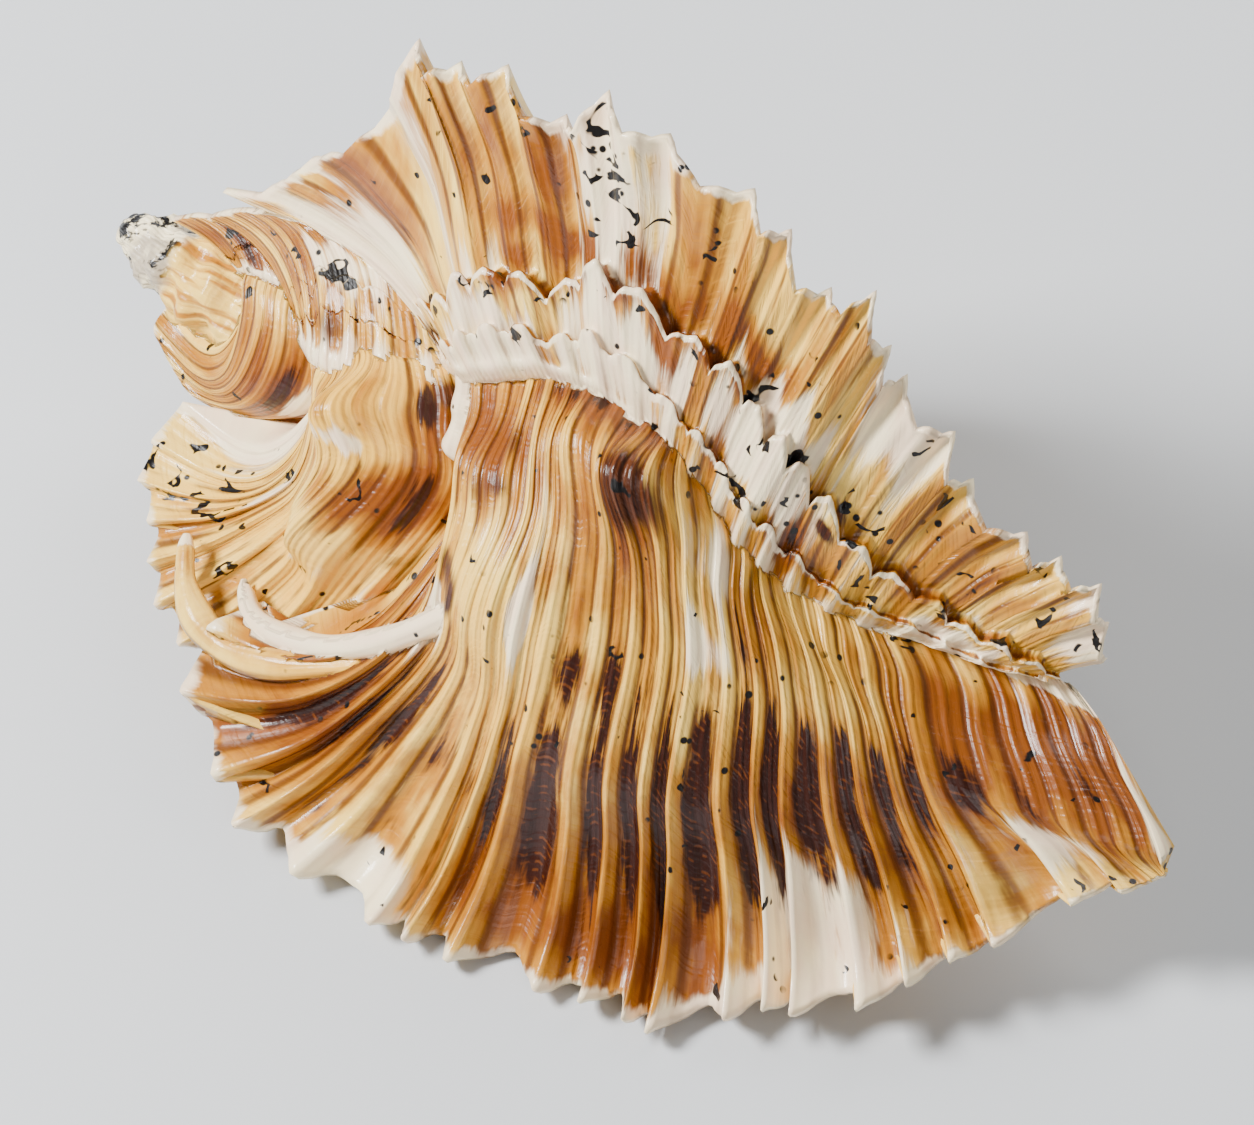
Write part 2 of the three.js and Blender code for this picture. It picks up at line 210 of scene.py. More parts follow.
# Columns of points to a rib, then rows on the whorl, up the back of the wing and down its front.
DENSITY = [
    (12, 34, 42, 30), (12, 20, 28, 66), (8, 16, 24, 16), (12, 26, 32, 22),
    (12, 14, 22, 44), (8, 12, 14, 12), (10, 12, 16, 14), (10, 10, 14, 24),
]

# Knobs between the wings, by stretch: angle, distance along the axis, height and width.
KNOBS = {
    0: [(124, 47.3, 2.9, 2.9), (161, 40.6, 3.4, 3.9), (139, 37.6, 1.2, 2.2), (121, 42.0, 1.2, 2.6)],
    1: [(-5, 41, 2.0, 5.0), (40, 36, 1.4, 4.6)],
    2: [(250, 33, 1.8, 4.2), (290, 29, 1.2, 4.0)],
    3: [(149, 25.0, 3.2, 2.5), (183, 25.8, 4.6, 2.8), (167, 28.6, 0.9, 2.2)],
}

# An upper wing's front carries two tiers of hooded scales. First the height of the taller tier's
# rim, by rib, as a share of the wing. Then the rows of both rims, and of the painted shade in the hollow
# behind each, as a share of the way from the wing's edge down to its foot.
TIER = [
    (0, 0.30), (4, 0.33), (6.5, 0.38), (8, 0.46), (9.5, 0.50), (12, 0.50), (15, 0.46), (19, 0.40),
    (22, 0.40),
]
TALL_RIM, TALL_SHADE_ROW = 0.475, 0.425
SMALL_RIM, SMALL_SHADE_ROW = 0.775, 0.735


def mix(a, b, part):
    """A value part of the way from one to another."""
    return a + (b - a) * part


def ease(value, low, high):
    """Smooth step from 0 at low to 1 at high."""
    part = np.clip((value - low) / (high - low), 0, 1)
    return part * part * (3 - 2 * part)


def bell(value, centre, width):
    """Smooth hump, 1 at its centre and almost 0 at twice its width."""
    return np.exp(-((value - centre) / width) ** 2)


def between(rows, place):
    """Smooth curve through rows of numbers, read at places counted in rows."""
    rows = np.asarray(rows, float)
    i = np.clip(np.floor(place).astype(int), 0, len(rows) - 2)
    u = np.asarray(place - i)[..., None]
    a, b = rows[i], rows[i + 1]
    slope_a = (b - rows[np.maximum(i - 1, 0)]) / 2
    slope_b = (rows[np.minimum(i + 2, len(rows) - 1)] - a) / 2
    return a + (b - a) * u * u * (3 - 2 * u) + u * (1 - u) * ((1 - u) * slope_a - u * slope_b)


def read(table, at):
    """Second number of a table of pairs at values of the first."""
    first = np.array([row[0] for row in table], float)
    i = np.searchsorted(first[1:-1], at)
    u = np.clip((at - first[i]) / (first[i + 1] - first[i]), 0, 1)
    return between(table, i + u)[..., 1]


def around(along, radius, degrees):
    """Points at distances along the shell's axis, radii from it and angles about it."""
    along, radius, degrees = np.broadcast_arrays(along, radius, degrees)
    angle = np.radians(degrees)
    return np.stack([along, radius * np.cos(angle), radius * np.sin(angle)], axis=-1)


def waves(place, seed):
    """Slow uneven swell along a row of ribs, from about -1 to 1 and different for each seed."""
    total = 0
    for k in range(1, 5):
        total = total + np.sin(place * (0.7 + 0.83 * k) + seed * 1.7 + k * k * 2.1) / k
    return total / 2


def scallops(place, power):
    """A row of arches, 1 on each rib and 0 midway between two, the flatter the smaller the power."""
    return np.abs(np.cos(np.pi * place)) ** power


def gaps(place, power):
    """The spaces between the ribs: 0 on each rib and 1 midway, the narrower the larger the power."""
    return np.abs(np.sin(np.pi * place)) ** power


def cords(place, minor):
    """The cords across a rib, a main one and a lesser one, from -1.2 in a groove to 0.8 on a cord."""
    main = scallops(place, 1.6)
    lesser = gaps(place, 3.0) * minor
    height = np.maximum(main, lesser) * 0.7 + (main + lesser) * 0.3
    return height * 2 - 1.2


def teeth(place, age):
    """How deep a wing's edge is notched between its ribs, as a share of the full depth."""
    if age % WINGS_A_TURN == LIP:
        tooth = 1.45 * gaps(place, 1.5) + 0.12 * np.sin(2 * np.pi * 2.5 * place)
    else:
        tooth = 0.65 + 0.5 * (1 - scallops(place, 0.8)) - 0.2 * np.cos(2 * np.pi * 3 * place)
    return tooth * (1 + 0.35 * waves(place * 1.1, age + 6))


def knob_relief(age, angle, along, radius):
    """How far the knobs of one stretch raise the whorl at some points."""
    total = 0 * along
    for knob_angle, knob_along, height, width in KNOBS.get(age, []):
        across = np.radians(angle - knob_angle) * radius
        total = total + height * np.exp(-(across ** 2 + (along - knob_along) ** 2) / width ** 2)
    return total


def wing_folds(place, part, age, size):
    """Slow folds along a wing's rim, with its fine ribs and uneven growth steps, in millimetres."""
    slow = FOLD_HEIGHT * waves(place * 0.8, age + 3) * part * part
    fine = FINE_RIB_HEIGHT * np.cos(2 * np.pi * FINE_RIBS * place) * ease(part, 0.2, 0.5)
    steps = np.sin(GROWTH_STEPS * part + 2.2 * waves(place * 0.9, age + 8))
    return size * (slow + fine + GROWTH_STEP_HEIGHT * steps * ease(part, 0.1, 0.5))


class Stretch:
    """One stretch of whorl and the wing at its end: what holds for each column of its points.

    A part is how far a row has come: along the whorl, or up the wing from its foot to its edge.
    """

    def __init__(self, age, form):
        wing = WINGS[age]
        ribs = wing["ribs"]
        per_rib, self.body_rows, self.back_rows, self.front_rows = DENSITY[age]
        self.age = age
        self.last = age == 0
        self.family = age % WINGS_A_TURN
        self.size = TURN_GROWTH ** (-age / WINGS_A_TURN)
        self.rim = wing["rim"]
        self.lift = self.rim - LIFT
        self.lay_columns(len(ribs) - 1, max(int(per_rib * form.fineness), LEAST_COLUMNS))
        base, tip_along, tip_out = between(ribs, self.place).T
        self.foot = read(wing["foot"], base)
        self.lay_whorl(base, wing["canal"])
        self.lay_wing(tip_along, tip_out, form)

    def lay_columns(self, spans, per_rib):
        """Columns along the ribs, with a rounded margin and then a closing column at each end."""
        ends = MARGIN_COLUMNS + 1
        along_ribs = np.linspace(0, spans, spans * per_rib + 1)
        self.place = np.concatenate([[0] * ends, along_ribs, [spans] * ends])
        self.closed = np.zeros(len(self.place), bool)
        self.closed[[0, -1]] = True
        fall = np.zeros(len(self.place))
        fall[1:ends] = np.linspace(1, 1 / MARGIN_COLUMNS, MARGIN_COLUMNS)
        fall[-ends:-1] = fall[1:ends][::-1]
        fall[[0, -1]] = 1
        self.level = 1 - np.cos(np.pi / 2 * fall)
        on_shoulder = (self.place <= spans / 2) & (fall < 1)
        self.aside = -MARGIN_WIDTH * self.size * np.sin(np.pi / 2 * fall) * on_shoulder

    def lay_whorl(self, base, canal):
        """Where the whorl starts under the wing before it, and where its own wing lifts off."""
        size = self.size
        start_size = TURN_GROWTH ** (-(self.age + 1) / WINGS_A_TURN)
        start_canal = canal - CANAL_GROWTH * size - LENGTH * start_size
        canal_part = ease(base, *CANAL_PART)
        radius = read(WHORL, base)
        self.body_along = base * size + (canal - LENGTH * size) * canal_part
        self.body_radius = radius * size
        self.start_along = base * start_size + start_canal * canal_part
        thinning = 1 - START_CANAL_THINNING * ease(base, *START_CANAL_PART)
        self.start_radius = radius * start_size * thinning
        if self.age + 1 < len(WINGS):
            start = read(WINGS[self.age + 1]["foot"], base) - START_UNDER
        else:
            start = np.full(len(base), self.rim - FIRST_STRETCH)
        self.start_angle = np.where(start > self.rim, start - 360, start)
        bend = around(0.0, CANAL_BEND if self.last else 0.0, CANAL_BEND_ANGLE)
        self.bend = bend * ease(base, *CANAL_BEND_PART)[:, None]
        self.axis = around(self.body_along, 0.0, 0.0) + self.bend
        depth, where, width = EARLY_PINCH if self.age > 1 else LATE_PINCH
        self.pinch = size * depth * bell(base, where, width)
        self.shoulder = SHOULDER_LEAN * size * bell(base, *SHOULDER)
        self.knob_lean = LAST_KNOB_LEAN if self.last else EARLY_KNOB_LEAN

    def lay_wing(self, tip_along, tip_out, form):
        """Where the wing's edge lies, and how strong its curl, cords, pleats and tiers are."""
        size, place = self.size, self.place
        lowest = self.body_radius + LEAST_WING
        self.height = np.clip((tip_out - self.body_radius) / FULL_WING, 0, 1) * (1 - self.level)
        reach = OUTER_REACH * bell(place, *OUTER_RIBS) if self.last else 0.0
        notch = form.notch_depth / MM * size * teeth(place, self.age) * self.height
        self.edge = mix(np.maximum(tip_out + reach - notch, lowest), lowest, self.level)
        self.end = mix(tip_along, self.body_along, self.level)
        self.edge_angle = self.rim - (HORN_LEAN * bell(place, *HORN_RIBS) if self.last else 0.0)
        self.curl = bell(place, *CURL_RIBS) * (1.0 if self.family == LIP else SLIGHT_CURL)
        self.cord = form.cord_height / MM * size
        self.pleat = form.pleat_depth / MM * size * self.height
        self.plate = form.plate / MM * mix(0.6, 1.0, size)
        self.tier = form.tier_height / MM * size
        self.callus = size * (CALLUS_HEIGHT if self.family == UPPER else LOW_CALLUS_HEIGHT)

    def body_row(self, part):
        """A row of the whorl, corded and knobbed."""
        along = mix(self.start_along, self.body_along, part ** 0.8)
        radius = mix(self.start_radius, self.body_radius, part)
        angle = mix(self.start_angle, self.lift, part)
        relief = self.cord * cords(self.place, LESSER_CORD)
        relief = relief + UNEVENNESS * self.size * waves(self.place * 0.6 + part * 5, self.age)
        if self.last:
            relief = relief - LIFT_HOLLOW * ease(part, 0.8, 1.0) * bell(self.place, *LIFT_RIBS)
        knob = knob_relief(self.age, angle, along, radius)
        relief = relief + knob - self.pinch * ease(part, 0.1, 0.5)
        waver = np.sin(9 * part + 2.5 * waves(self.place * 0.5, self.age)) * np.sin(np.pi * part)
        lean = self.knob_lean * knob + self.shoulder * ease(part, 0.0, 0.3)
        along = along + WAVER * self.size * waver - lean
        return around(along, radius + relief, angle) + self.bend * part

    def wing_row(self, along, radius, angle, part):
        """A row of the wing, drawn aside at the shoulder's margin and bent with the canal."""
        along = along + self.aside * np.sin(np.pi * part)
        return around(along, radius, angle) + self.bend * (1 - part * self.height)[:, None]

    def pleats(self, shape, part):
        """How far the cords, grown into pleats, and the folds move the wing's sheet."""
        pleat = mix(self.cord, self.pleat, part) * shape
        return pleat + wing_folds(self.place, part, self.age, self.size) * self.height

    def swell(self, part):
        """How far the curled end of the wing bulges out between its foot and its edge."""
        return (1 - self.level) * CURL_SWELL * self.size * self.curl * np.sin(np.pi * part)

    def back_row(self, part):
        """A row up the back of the wing, which leaves the whorl smoothly and turns outwards."""
        rest = 1 - part
        low = mix(self.body_radius, self.edge, 0.1)
        high = mix(self.body_radius, self.edge, 0.5)
        radius = (rest ** 3 * self.body_radius + 3 * rest * rest * part * low
                  + 3 * rest * part * part * high + part ** 3 * self.edge + self.swell(part))
        angle = mix(self.lift, self.edge_angle, 1 - rest ** 2)
        along = mix(self.body_along, self.end, part ** (1.25 + 0.7 * self.curl))
        shape = cords(self.place, mix(LESSER_CORD, EDGE_LESSER_CORD, part))
        turn = np.degrees(self.pleats(shape, part) * part / radius)
        knob = knob_relief(self.age, angle, along, self.body_radius) * rest
        lean = self.knob_lean * knob + self.shoulder * (1 - ease(part, 0.0, 0.3))
        relief = self.cord * shape * rest + knob - self.pinch * (1 - ease(part, 0.0, 0.35))
        if self.last:
            wave = LIFT_HUMP * bell(part, 0.34, 0.14) - LIFT_HOLLOW * bell(part, 0.0, 0.1)
            relief = relief + wave * bell(self.place, *LIFT_RIBS)
        return self.wing_row(along - lean, radius + relief, angle - turn, part)

    def front_row(self, step):
        """A row down the front of the wing, and how far up the wing each of its points lies."""
        part, proud = front_profile(step, self.place, self.age)
        root = (1 - part) ** 2
        radius = mix(self.body_radius * 1.02, self.edge, part) + self.swell(part)
        along = mix(self.body_along, self.end, part ** (1.1 + 0.7 * self.curl))
        shape = cords(self.place, FRONT_LESSER_CORD)
        pleat = self.pleats(shape, part) * (1 - 0.6 * np.clip(proud, 0, 1))
        turn = np.degrees((pleat * part - self.tier * proud * self.height) / radius)
        thick = self.plate * (1 - root) * mix(*PLATE_TAPER, part) * mix(1.0, MARGIN_THINNESS, self.level)
        angle = mix(self.edge_angle, self.foot, root) + np.degrees(thick / radius) - turn
        callus = self.callus * bell(part, *CALLUS_PLACE)
        callus = callus + FOOT_CORDS * self.cord * shape * bell(part, *FOOT_CORDS_PLACE)
        return self.wing_row(along, radius + callus, angle, part), part


def front_profile(step, place, age):
    """How far up a wing's front each point of a row lies, and how far its scales stand proud."""
    flat = np.zeros(len(place))
    if age % WINGS_A_TURN != UPPER:
        return flat + 1 - step, flat
    ribs = len(UPPER_RIBS) / len(WINGS[age]["ribs"])
    arch = scallops(place + 0.12 * waves(place * 0.7, 2), 0.5)
    hood = read(TIER, place * ribs) + 0.085 * (arch - 0.5) + 0.03 * waves(place * 1.3, 5)
    lower = hood * 0.56 + 0.05 * (scallops(place + 0.3, 0.7) - 0.5)
    tall = 0.8 + 0.2 * arch + 0.15 * waves(place * 1.1, 9)
    small = 0.7 + 0.3 * scallops(place + 0.3, 1)
    # Each key is a step down the front, the place up the wing there, and how proud it stands.
    keys = [
        (0.00, 1.0 + flat, flat), (0.38, hood - 0.075, flat), (0.41, hood - 0.06, 0.45 * tall),
        (0.46, hood, 1.0 * tall), (0.49, hood - 0.012, 1.18 * tall), (0.54, hood - 0.05, 1.05 * tall),
        (0.69, lower - 0.035, 0.75 * tall), (0.72, lower - 0.025, 0.75 * tall + 0.2 * small),
        (0.76, lower, 0.75 * tall + 0.5 * small), (0.79, lower - 0.015, 0.75 * tall + 0.55 * small),
        (1.00, flat, 0.35 + flat),
    ]
    for (start, part_a, proud_a), (stop, part_b, proud_b) in zip(keys, keys[1:]):
        if step <= stop:
            across = (step - start) / (stop - start)
            return mix(part_a, part_b, across), mix(proud_a, proud_b, across)
    raise ValueError("a front row lies past the wing's foot")


def soften_lift(points, lift_row, reach):
    """Smooth the rows about the one where a wing lifts off its whorl."""
    weight = 0.5 * bell(np.arange(len(points)), lift_row, reach)
    weight[[0, 1, -2, -1]] = 0
    for _ in range(SOFTENING_ROUNDS):
        beside = (np.roll(points, 1, axis=0) + np.roll(points, -1, axis=0)) / 2
        points = mix(points, beside, weight[:, None, None])
    return points


def stretch_points(age, form):
    """Grid of points of one stretch of whorl with the wing at its end, and what each point is.

    The way runs from -1 where the stretch starts through 0 where its wing lifts off and 1 at the
    wing's edge to 2 at the foot of its front.
    """
    stretch = Stretch(age, form)
    rows = [(stretch.axis, -1.0, 0.0)]
    for part in np.linspace(0, 1, stretch.body_rows + 1):
        rows.append((stretch.body_row(part), part - 1, 0.0))
    for part in np.linspace(0, 1, stretch.back_rows + 1)[1:]:
        rows.append((stretch.back_row(part), part, 0.0))
    for step in np.linspace(0, 1, stretch.front_rows + 1):
        points, part = stretch.front_row(step)
        rows.append((points, 2 - part, step))
    rows.append((stretch.axis, 2.0, 0.0))

    points = np.stack([row[0] for row in rows])
    reach = SOFTENING_REACH * (stretch.body_rows + stretch.back_rows)
    points = soften_lift(points, 1 + stretch.body_rows, reach)
    points[:, stretch.closed] = stretch.axis[stretch.closed][None]
    grown = np.zeros(points.shape[:2])
    grown[1:] = np.cumsum(np.linalg.norm(np.diff(points, axis=0), axis=2), axis=0)
    columns = np.ones(len(stretch.place))
    facts = {
        "place": np.broadcast_to(stretch.place, grown.shape),
        "way": np.stack([row[1] * columns for row in rows]),
        "step": np.stack([row[2] * columns for row in rows]),
        "grown": grown,
        "age": np.full(grown.shape, float(age)),
    }
    return points, facts


def settle(points):
    """Turn points of the shell's own frame into the part's frame, in metres."""
    turn = Matrix.Rotation(TILT_OF_AXIS, 3, "Y") @ Matrix.Rotation(TILT_ABOUT_AXIS, 3, "X")
    return (points @ np.array(turn).T + RESTING_PLACE) * MM


# What each point of the mesh knows for the material: the rib it lies on, the way along its
# stretch, the length grown in millimetres, its stretch's age, and five soft fields of colour.
POINT_FACTS = ("place", "way", "grown", "age", "honey", "chocolate", "dark", "white", "mark")
MOUTH_AGE = -1.0
NUB_AGE = 8.0


def blank_facts(shape):
    """Facts of a sheet that isn't a stretch, all 0 until they are filled in."""
    return {fact: np.zeros(shape) for fact in POINT_FACTS}


def closed_sheet(name, points, facts, known):
    """A grid whose borders meet, as a closed mesh object. Its points' facts are added to known."""
    rows, columns = points.shape[:2]
    placed = settle(points)
    columns_of_facts = [facts[fact].ravel() for fact in POINT_FACTS]
    known.append((placed.reshape(-1, 3), np.stack(columns_of_facts, axis=1)))
    bm = bmesh.new()
    bmesh.ops.create_grid(bm, x_segments=columns - 1, y_segments=rows - 1, size=1)
    border = []
    for vert in bm.verts:
        column = round((vert.co.x + 1) / 2 * (columns - 1))
        row = round((vert.co.y + 1) / 2 * (rows - 1))
        vert.co = placed[row, column]
        if row in (0, rows - 1) or column in (0, columns - 1):
            border.append(vert)
    bmesh.ops.remove_doubles(bm, verts=border, dist=1e-7)
    bmesh.ops.dissolve_degenerate(bm, edges=bm.edges, dist=1e-8)
    bmesh.ops.recalc_face_normals(bm, faces=bm.faces)
    if bm.calc_volume(signed=True) < 0:
        bmesh.ops.reverse_faces(bm, faces=bm.faces)
    mesh = bpy.data.meshes.new(name)
    bm.to_mesh(mesh)
    bm.free()
    piece = bpy.data.objects.new(name, mesh)
    bpy.context.collection.objects.link(piece)
    return piece


# Where the shell is coloured, by stretch. Each patch is the rib and how many ribs wide, the way
# along the growth and how wide, and the strength, which is below 0 where a colour is held back.
HONEY = {
    0: [(0.8, 1.3, 0.3, 0.5, 0.6), (1.2, 1.0, -0.3, 0.25, 0.35), (19.5, 1.6, -0.35, 0.3, 0.6),
        # The patch at rib 6.0 on the next line, held back by 0.9, is a painted highlight on the last
        # whorl's left knob.
        (3.2, 2.2, 0.62, 0.36, 0.45), (0.5, 0.5, 0.75, 0.2, 1.2), (6.0, 1.6, 0.0, 0.13, -0.9),
        (22.0, 1.5, -0.5, 0.25, 0.7), (8.0, 3.6, -0.5, 0.34, 0.38), (11.0, 4.0, 0.76, 0.2, 0.35),
        (17.0, 3.0, 0.3, 0.3, 0.45), (1.0, 1.0, -0.8, 0.2, 0.6), (22.0, 2.4, -0.3, 0.9, 0.9),
        (4.6, 1.5, -0.45, 0.18, 0.7), (3.4, 1.4, -0.6, 0.2, 0.7), (9.0, 3.2, -0.75, 0.08, 0.8),
        (12.0, 1.4, 0.85, 0.2, 0.6), (9.5, 2.0, 0.85, 0.15, 0.6), (17.5, 1.5, 0.75, 0.25, 0.5),
        (2.2, 1.2, 0.8, 0.25, 0.5), (7.6, 0.5, 0.75, 0.3, 0.5), (10.0, 1.2, -0.35, 0.2, 0.5),
        (14.0, 1.0, -0.4, 0.3, 0.5), (7.5, 1.6, -0.1, 0.1, 0.5)],
    1: [(4.0, 2.5, 1.3, 0.3, 0.25), (9.0, 5.0, 1.85, 0.06, 0.5), (4.9, 1.5, 1.25, 0.4, 0.6),
        (6.8, 0.6, 1.2, 0.4, 0.8), (10.0, 0.9, 1.25, 0.3, 0.7), (12.7, 1.1, 1.2, 0.3, 0.5),
        (18.2, 2.6, 1.35, 0.4, 0.7), (14.6, 1.0, 1.72, 0.14, 0.9), (11.2, 1.3, 1.68, 0.16, 0.8),
        (2.2, 0.9, 1.15, 0.3, 0.7), (7.6, 2.2, 1.5, 0.06, 1.3), (11.2, 1.2, 1.42, 0.08, 1.3),
        (5.6, 0.7, 1.62, 0.05, 0.8), (9.4, 0.9, 1.62, 0.07, 1.0)],
    # Stretch 3's first two patches, held back by 1.3, are painted highlights on the crests of its two
    # knobs.
    3: [(5.8, 1.1, -0.16, 0.14, -1.3), (6.2, 1.3, 0.36, 0.15, -1.3), (6.6, 1.3, 0.12, 0.08, 0.5),
        (3.0, 3.0, 0.9, 0.3, -0.3), (6.5, 1.4, -0.1, 0.3, 0.5), (8.2, 0.8, -0.4, 0.3, 0.9),
        (7.4, 0.9, 0.1, 0.3, 0.9), (3.4, 0.8, 0.9, 0.15, 0.6), (5.6, 0.8, 0.9, 0.2, 0.4)],
    4: [(3.0, 3.0, 1.3, 0.6, 0.3)],
    6: [(3.0, 2.5, 0.2, 0.5, 0.5)],
    7: [(1.8, 1.5, 1.5, 0.6, 0.7)],
}
CHOCOLATE = {
    0: [(10.9, 3.4, 0.48, 0.3, 1.05), (13.8, 2.4, 0.34, 0.26, 0.6), (8.1, 0.7, 0.52, 0.22, 0.6),
        (4.2, 1.1, 0.52, 0.26, 0.8), (17.3, 2.2, 0.15, 0.24, 0.95), (14.2, 1.0, 0.28, 0.2, 0.9),
        (19.5, 1.0, -0.05, 0.25, 0.6), (9.2, 1.0, 0.1, 0.06, 0.8), (14.0, 0.8, -0.25, 0.25, 0.6),
        (8.5, 3.0, -0.78, 0.07, 0.8), (2.6, 0.5, 0.6, 0.3, 0.7), (21.5, 1.0, -0.3, 0.2, 0.5),
        (16.6, 1.0, 0.55, 0.15, 0.7)],
    1: [(2.3, 0.5, 1.3, 0.3, 0.3), (14.7, 0.8, 1.7, 0.06, 0.6)],
    # Stretch 3's first patch on the next line is painted shade in the crevice beside the callus lobe.
    3: [(7.9, 0.7, -0.62, 0.25, 1.0), (3.3, 0.5, 0.9, 0.12, 0.3), (7.8, 0.9, 0.05, 0.2, 0.6)],
    6: [(3.6, 1.2, 0.2, 0.3, 0.7)],
    7: [(1.7, 1.2, 1.5, 0.4, 0.5)],
}
DARK = {
    0: [(3.4, 0.4, 0.02, 0.06, 1.0), (4.2, 0.5, -0.3, 0.12, 0.7), (10.3, 0.95, -0.54, 0.12, 1.5),
        (9.6, 0.5, -0.42, 0.1, 0.8), (4.0, 0.3, 0.08, 0.07, 1.3), (4.9, 0.35, -0.35, 0.05, 0.9),
        (5.1, 0.4, -0.52, 0.1, 0.75)],
    1: [(1.2, 1.0, 1.8, 0.07, 1.1), (15.2, 0.28, 1.59, 0.035, 1.5)],
    3: [(8.2, 0.6, -0.75, 0.15, 1.2), (8.0, 0.5, 0.37, 0.05, 0.6)],
    4: [(3.2, 0.8, 1.8, 0.12, 0.8)],
}
WHITE = {
    0: [(3.2, 0.7, 0.19, 0.06, 1.0), (3.0, 0.6, 0.2, 0.1, 1.2), (12.8, 0.8, -0.5, 0.22, 0.8),
        (12.3, 0.7, -0.1, 0.14, 0.9), (14.9, 1.7, 0.72, 0.25, 0.9), (14.6, 2.2, 0.96, 0.08, 0.9),
        (5.5, 0.8, 0.93, 0.12, 1.0), (20.2, 1.1, 0.5, 0.35, 0.8), (6.9, 0.6, 0.0, 0.14, 1.0),
        (7.3, 0.5, -0.35, 0.25, 0.5), (23.1, 0.5, -0.1, 0.45, 1.1)],
    1: [(8.1, 0.85, 1.2, 0.36, 1.2), (8.3, 1.8, 1.7, 0.14, 0.8), (12.6, 2.0, 1.58, 0.16, 1.1),
        (15.3, 1.2, 1.15, 0.3, 0.9), (4.6, 1.0, 1.82, 0.2, 0.9), (0.9, 1.2, 1.45, 0.35, 1.4),
        (21.5, 1.4, 1.15, 0.4, 0.8), (3.4, 0.35, 1.3, 0.45, 0.9), (19.0, 1.5, 1.75, 0.15, 0.9)],
    3: [(0.0, 0.7, 0.45, 0.5, 1.6), (3.0, 0.7, 0.4, 0.15, 0.9), (8.4, 0.8, 0.7, 0.16, 0.8),
        # The two patches on the next line are painted highlights on the same two knobs of stretch 3.
        (5.7, 0.8, -0.2, 0.1, 0.7), (6.3, 1.0, 0.4, 0.1, 0.5)],
    4: [(4.0, 1.6, 1.4, 0.25, 0.9)],
    6: [(4.1, 0.5, 0.31, 0.2, 1.0)],
}
MARKS = {
    0: [(0.8, 1.2, 0.3, 0.4, 0.9), (0.2, 0.7, 0.7, 0.3, 1.3), (12.2, 0.5, 0.15, 0.06, 1.0),
        (19.4, 0.8, -0.8, 0.06, 1.0), (13.0, 1.0, -0.1, 0.2, 0.6), (20.2, 0.6, 0.1, 0.2, 0.8)],
    1: [(6.0, 3.0, 1.75, 0.12, 0.8), (16.0, 3.0, 1.75, 0.15, 0.8), (18.0, 3.0, 1.2, 0.4, 0.7),
        (8.2, 1.1, 1.2, 0.4, 1.8), (10.0, 1.4, 1.62, 0.12, 0.8), (13.0, 1.8, 1.5, 0.2, 1.1),
        (5.3, 0.3, 1.38, 0.08, 1.1), (3.8, 0.3, 1.2, 0.08, 1.0), (19.0, 1.0, 1.5, 0.1, 0.8),
        (15.8, 0.6, 1.45, 0.1, 0.9)],
    3: [(2.4, 2.0, 0.75, 0.35, 1.4), (6.9, 0.5, 0.06, 0.13, 1.2), (7.2, 0.6, -0.5, 0.1, 1.0),
        (0.9, 0.4, 0.9, 0.1, 1.2), (2.4, 1.0, 0.7, 0.3, 0.6), (6.2, 1.0, -0.3, 0.2, 0.7)],
    4: [(4.0, 1.6, 1.35, 0.3, 1.0)],
    6: [(3.0, 2.0, 0.3, 0.5, 0.7)],
    7: [(2.0, 2.0, 1.4, 0.5, 0.7)],
}

# The honey colour everywhere, its swing along the ribs, and what stretches have more or less.
HONEY_LEVEL = 0.42
HONEY_SWING = 0.16
EARLY_HONEY = 0.2
UPPER_WING_HONEY = -0.16


def field(patches, age, place, way):
    """Sum of the soft patches of one table that lie on a stretch."""
    total = np.zeros_like(way)
    for rib, rib_width, at, width, strength in patches.get(age, []):
        total = total + strength * bell(place, rib, rib_width) * bell(way, at, width)
    return total


def tier_fields(place, way, step):
    """What an upper wing's tiers add to honey, chocolate and white: pale rims, and brown painted shade in
    the hollow under each hood.
    """
    # How strong the pale rims and the painted shade behind them are, rib by rib.
    rim_and_shade_strength = 0.7 + 0.5 * waves(place * 1.7, 4)
    # Honey and chocolate just behind each rim are painted shade under the hood.
    honey = 0.9 * bell(step, TALL_SHADE_ROW, 0.03) + 0.7 * bell(step, SMALL_SHADE_ROW, 0.03)
    chocolate = 0.34 * bell(step, TALL_SHADE_ROW + 0.005, 0.02) * rim_and_shade_strength
    white = 0.44 * ease(way, 1.70, 1.86) + 0.8 * bell(way, 1.96, 0.045)
    white = white + rim_and_shade_strength * (bell(step, TALL_RIM, 0.016) + 0.8 * bell(step, SMALL_RIM, 0.014))
    # The white is held back there too, as part of the same painted shade.
    white = white - 0.8 * bell(step, TALL_SHADE_ROW, 0.03) - 0.5 * bell(step, SMALL_SHADE_ROW, 0.025)
    return honey, chocolate, white


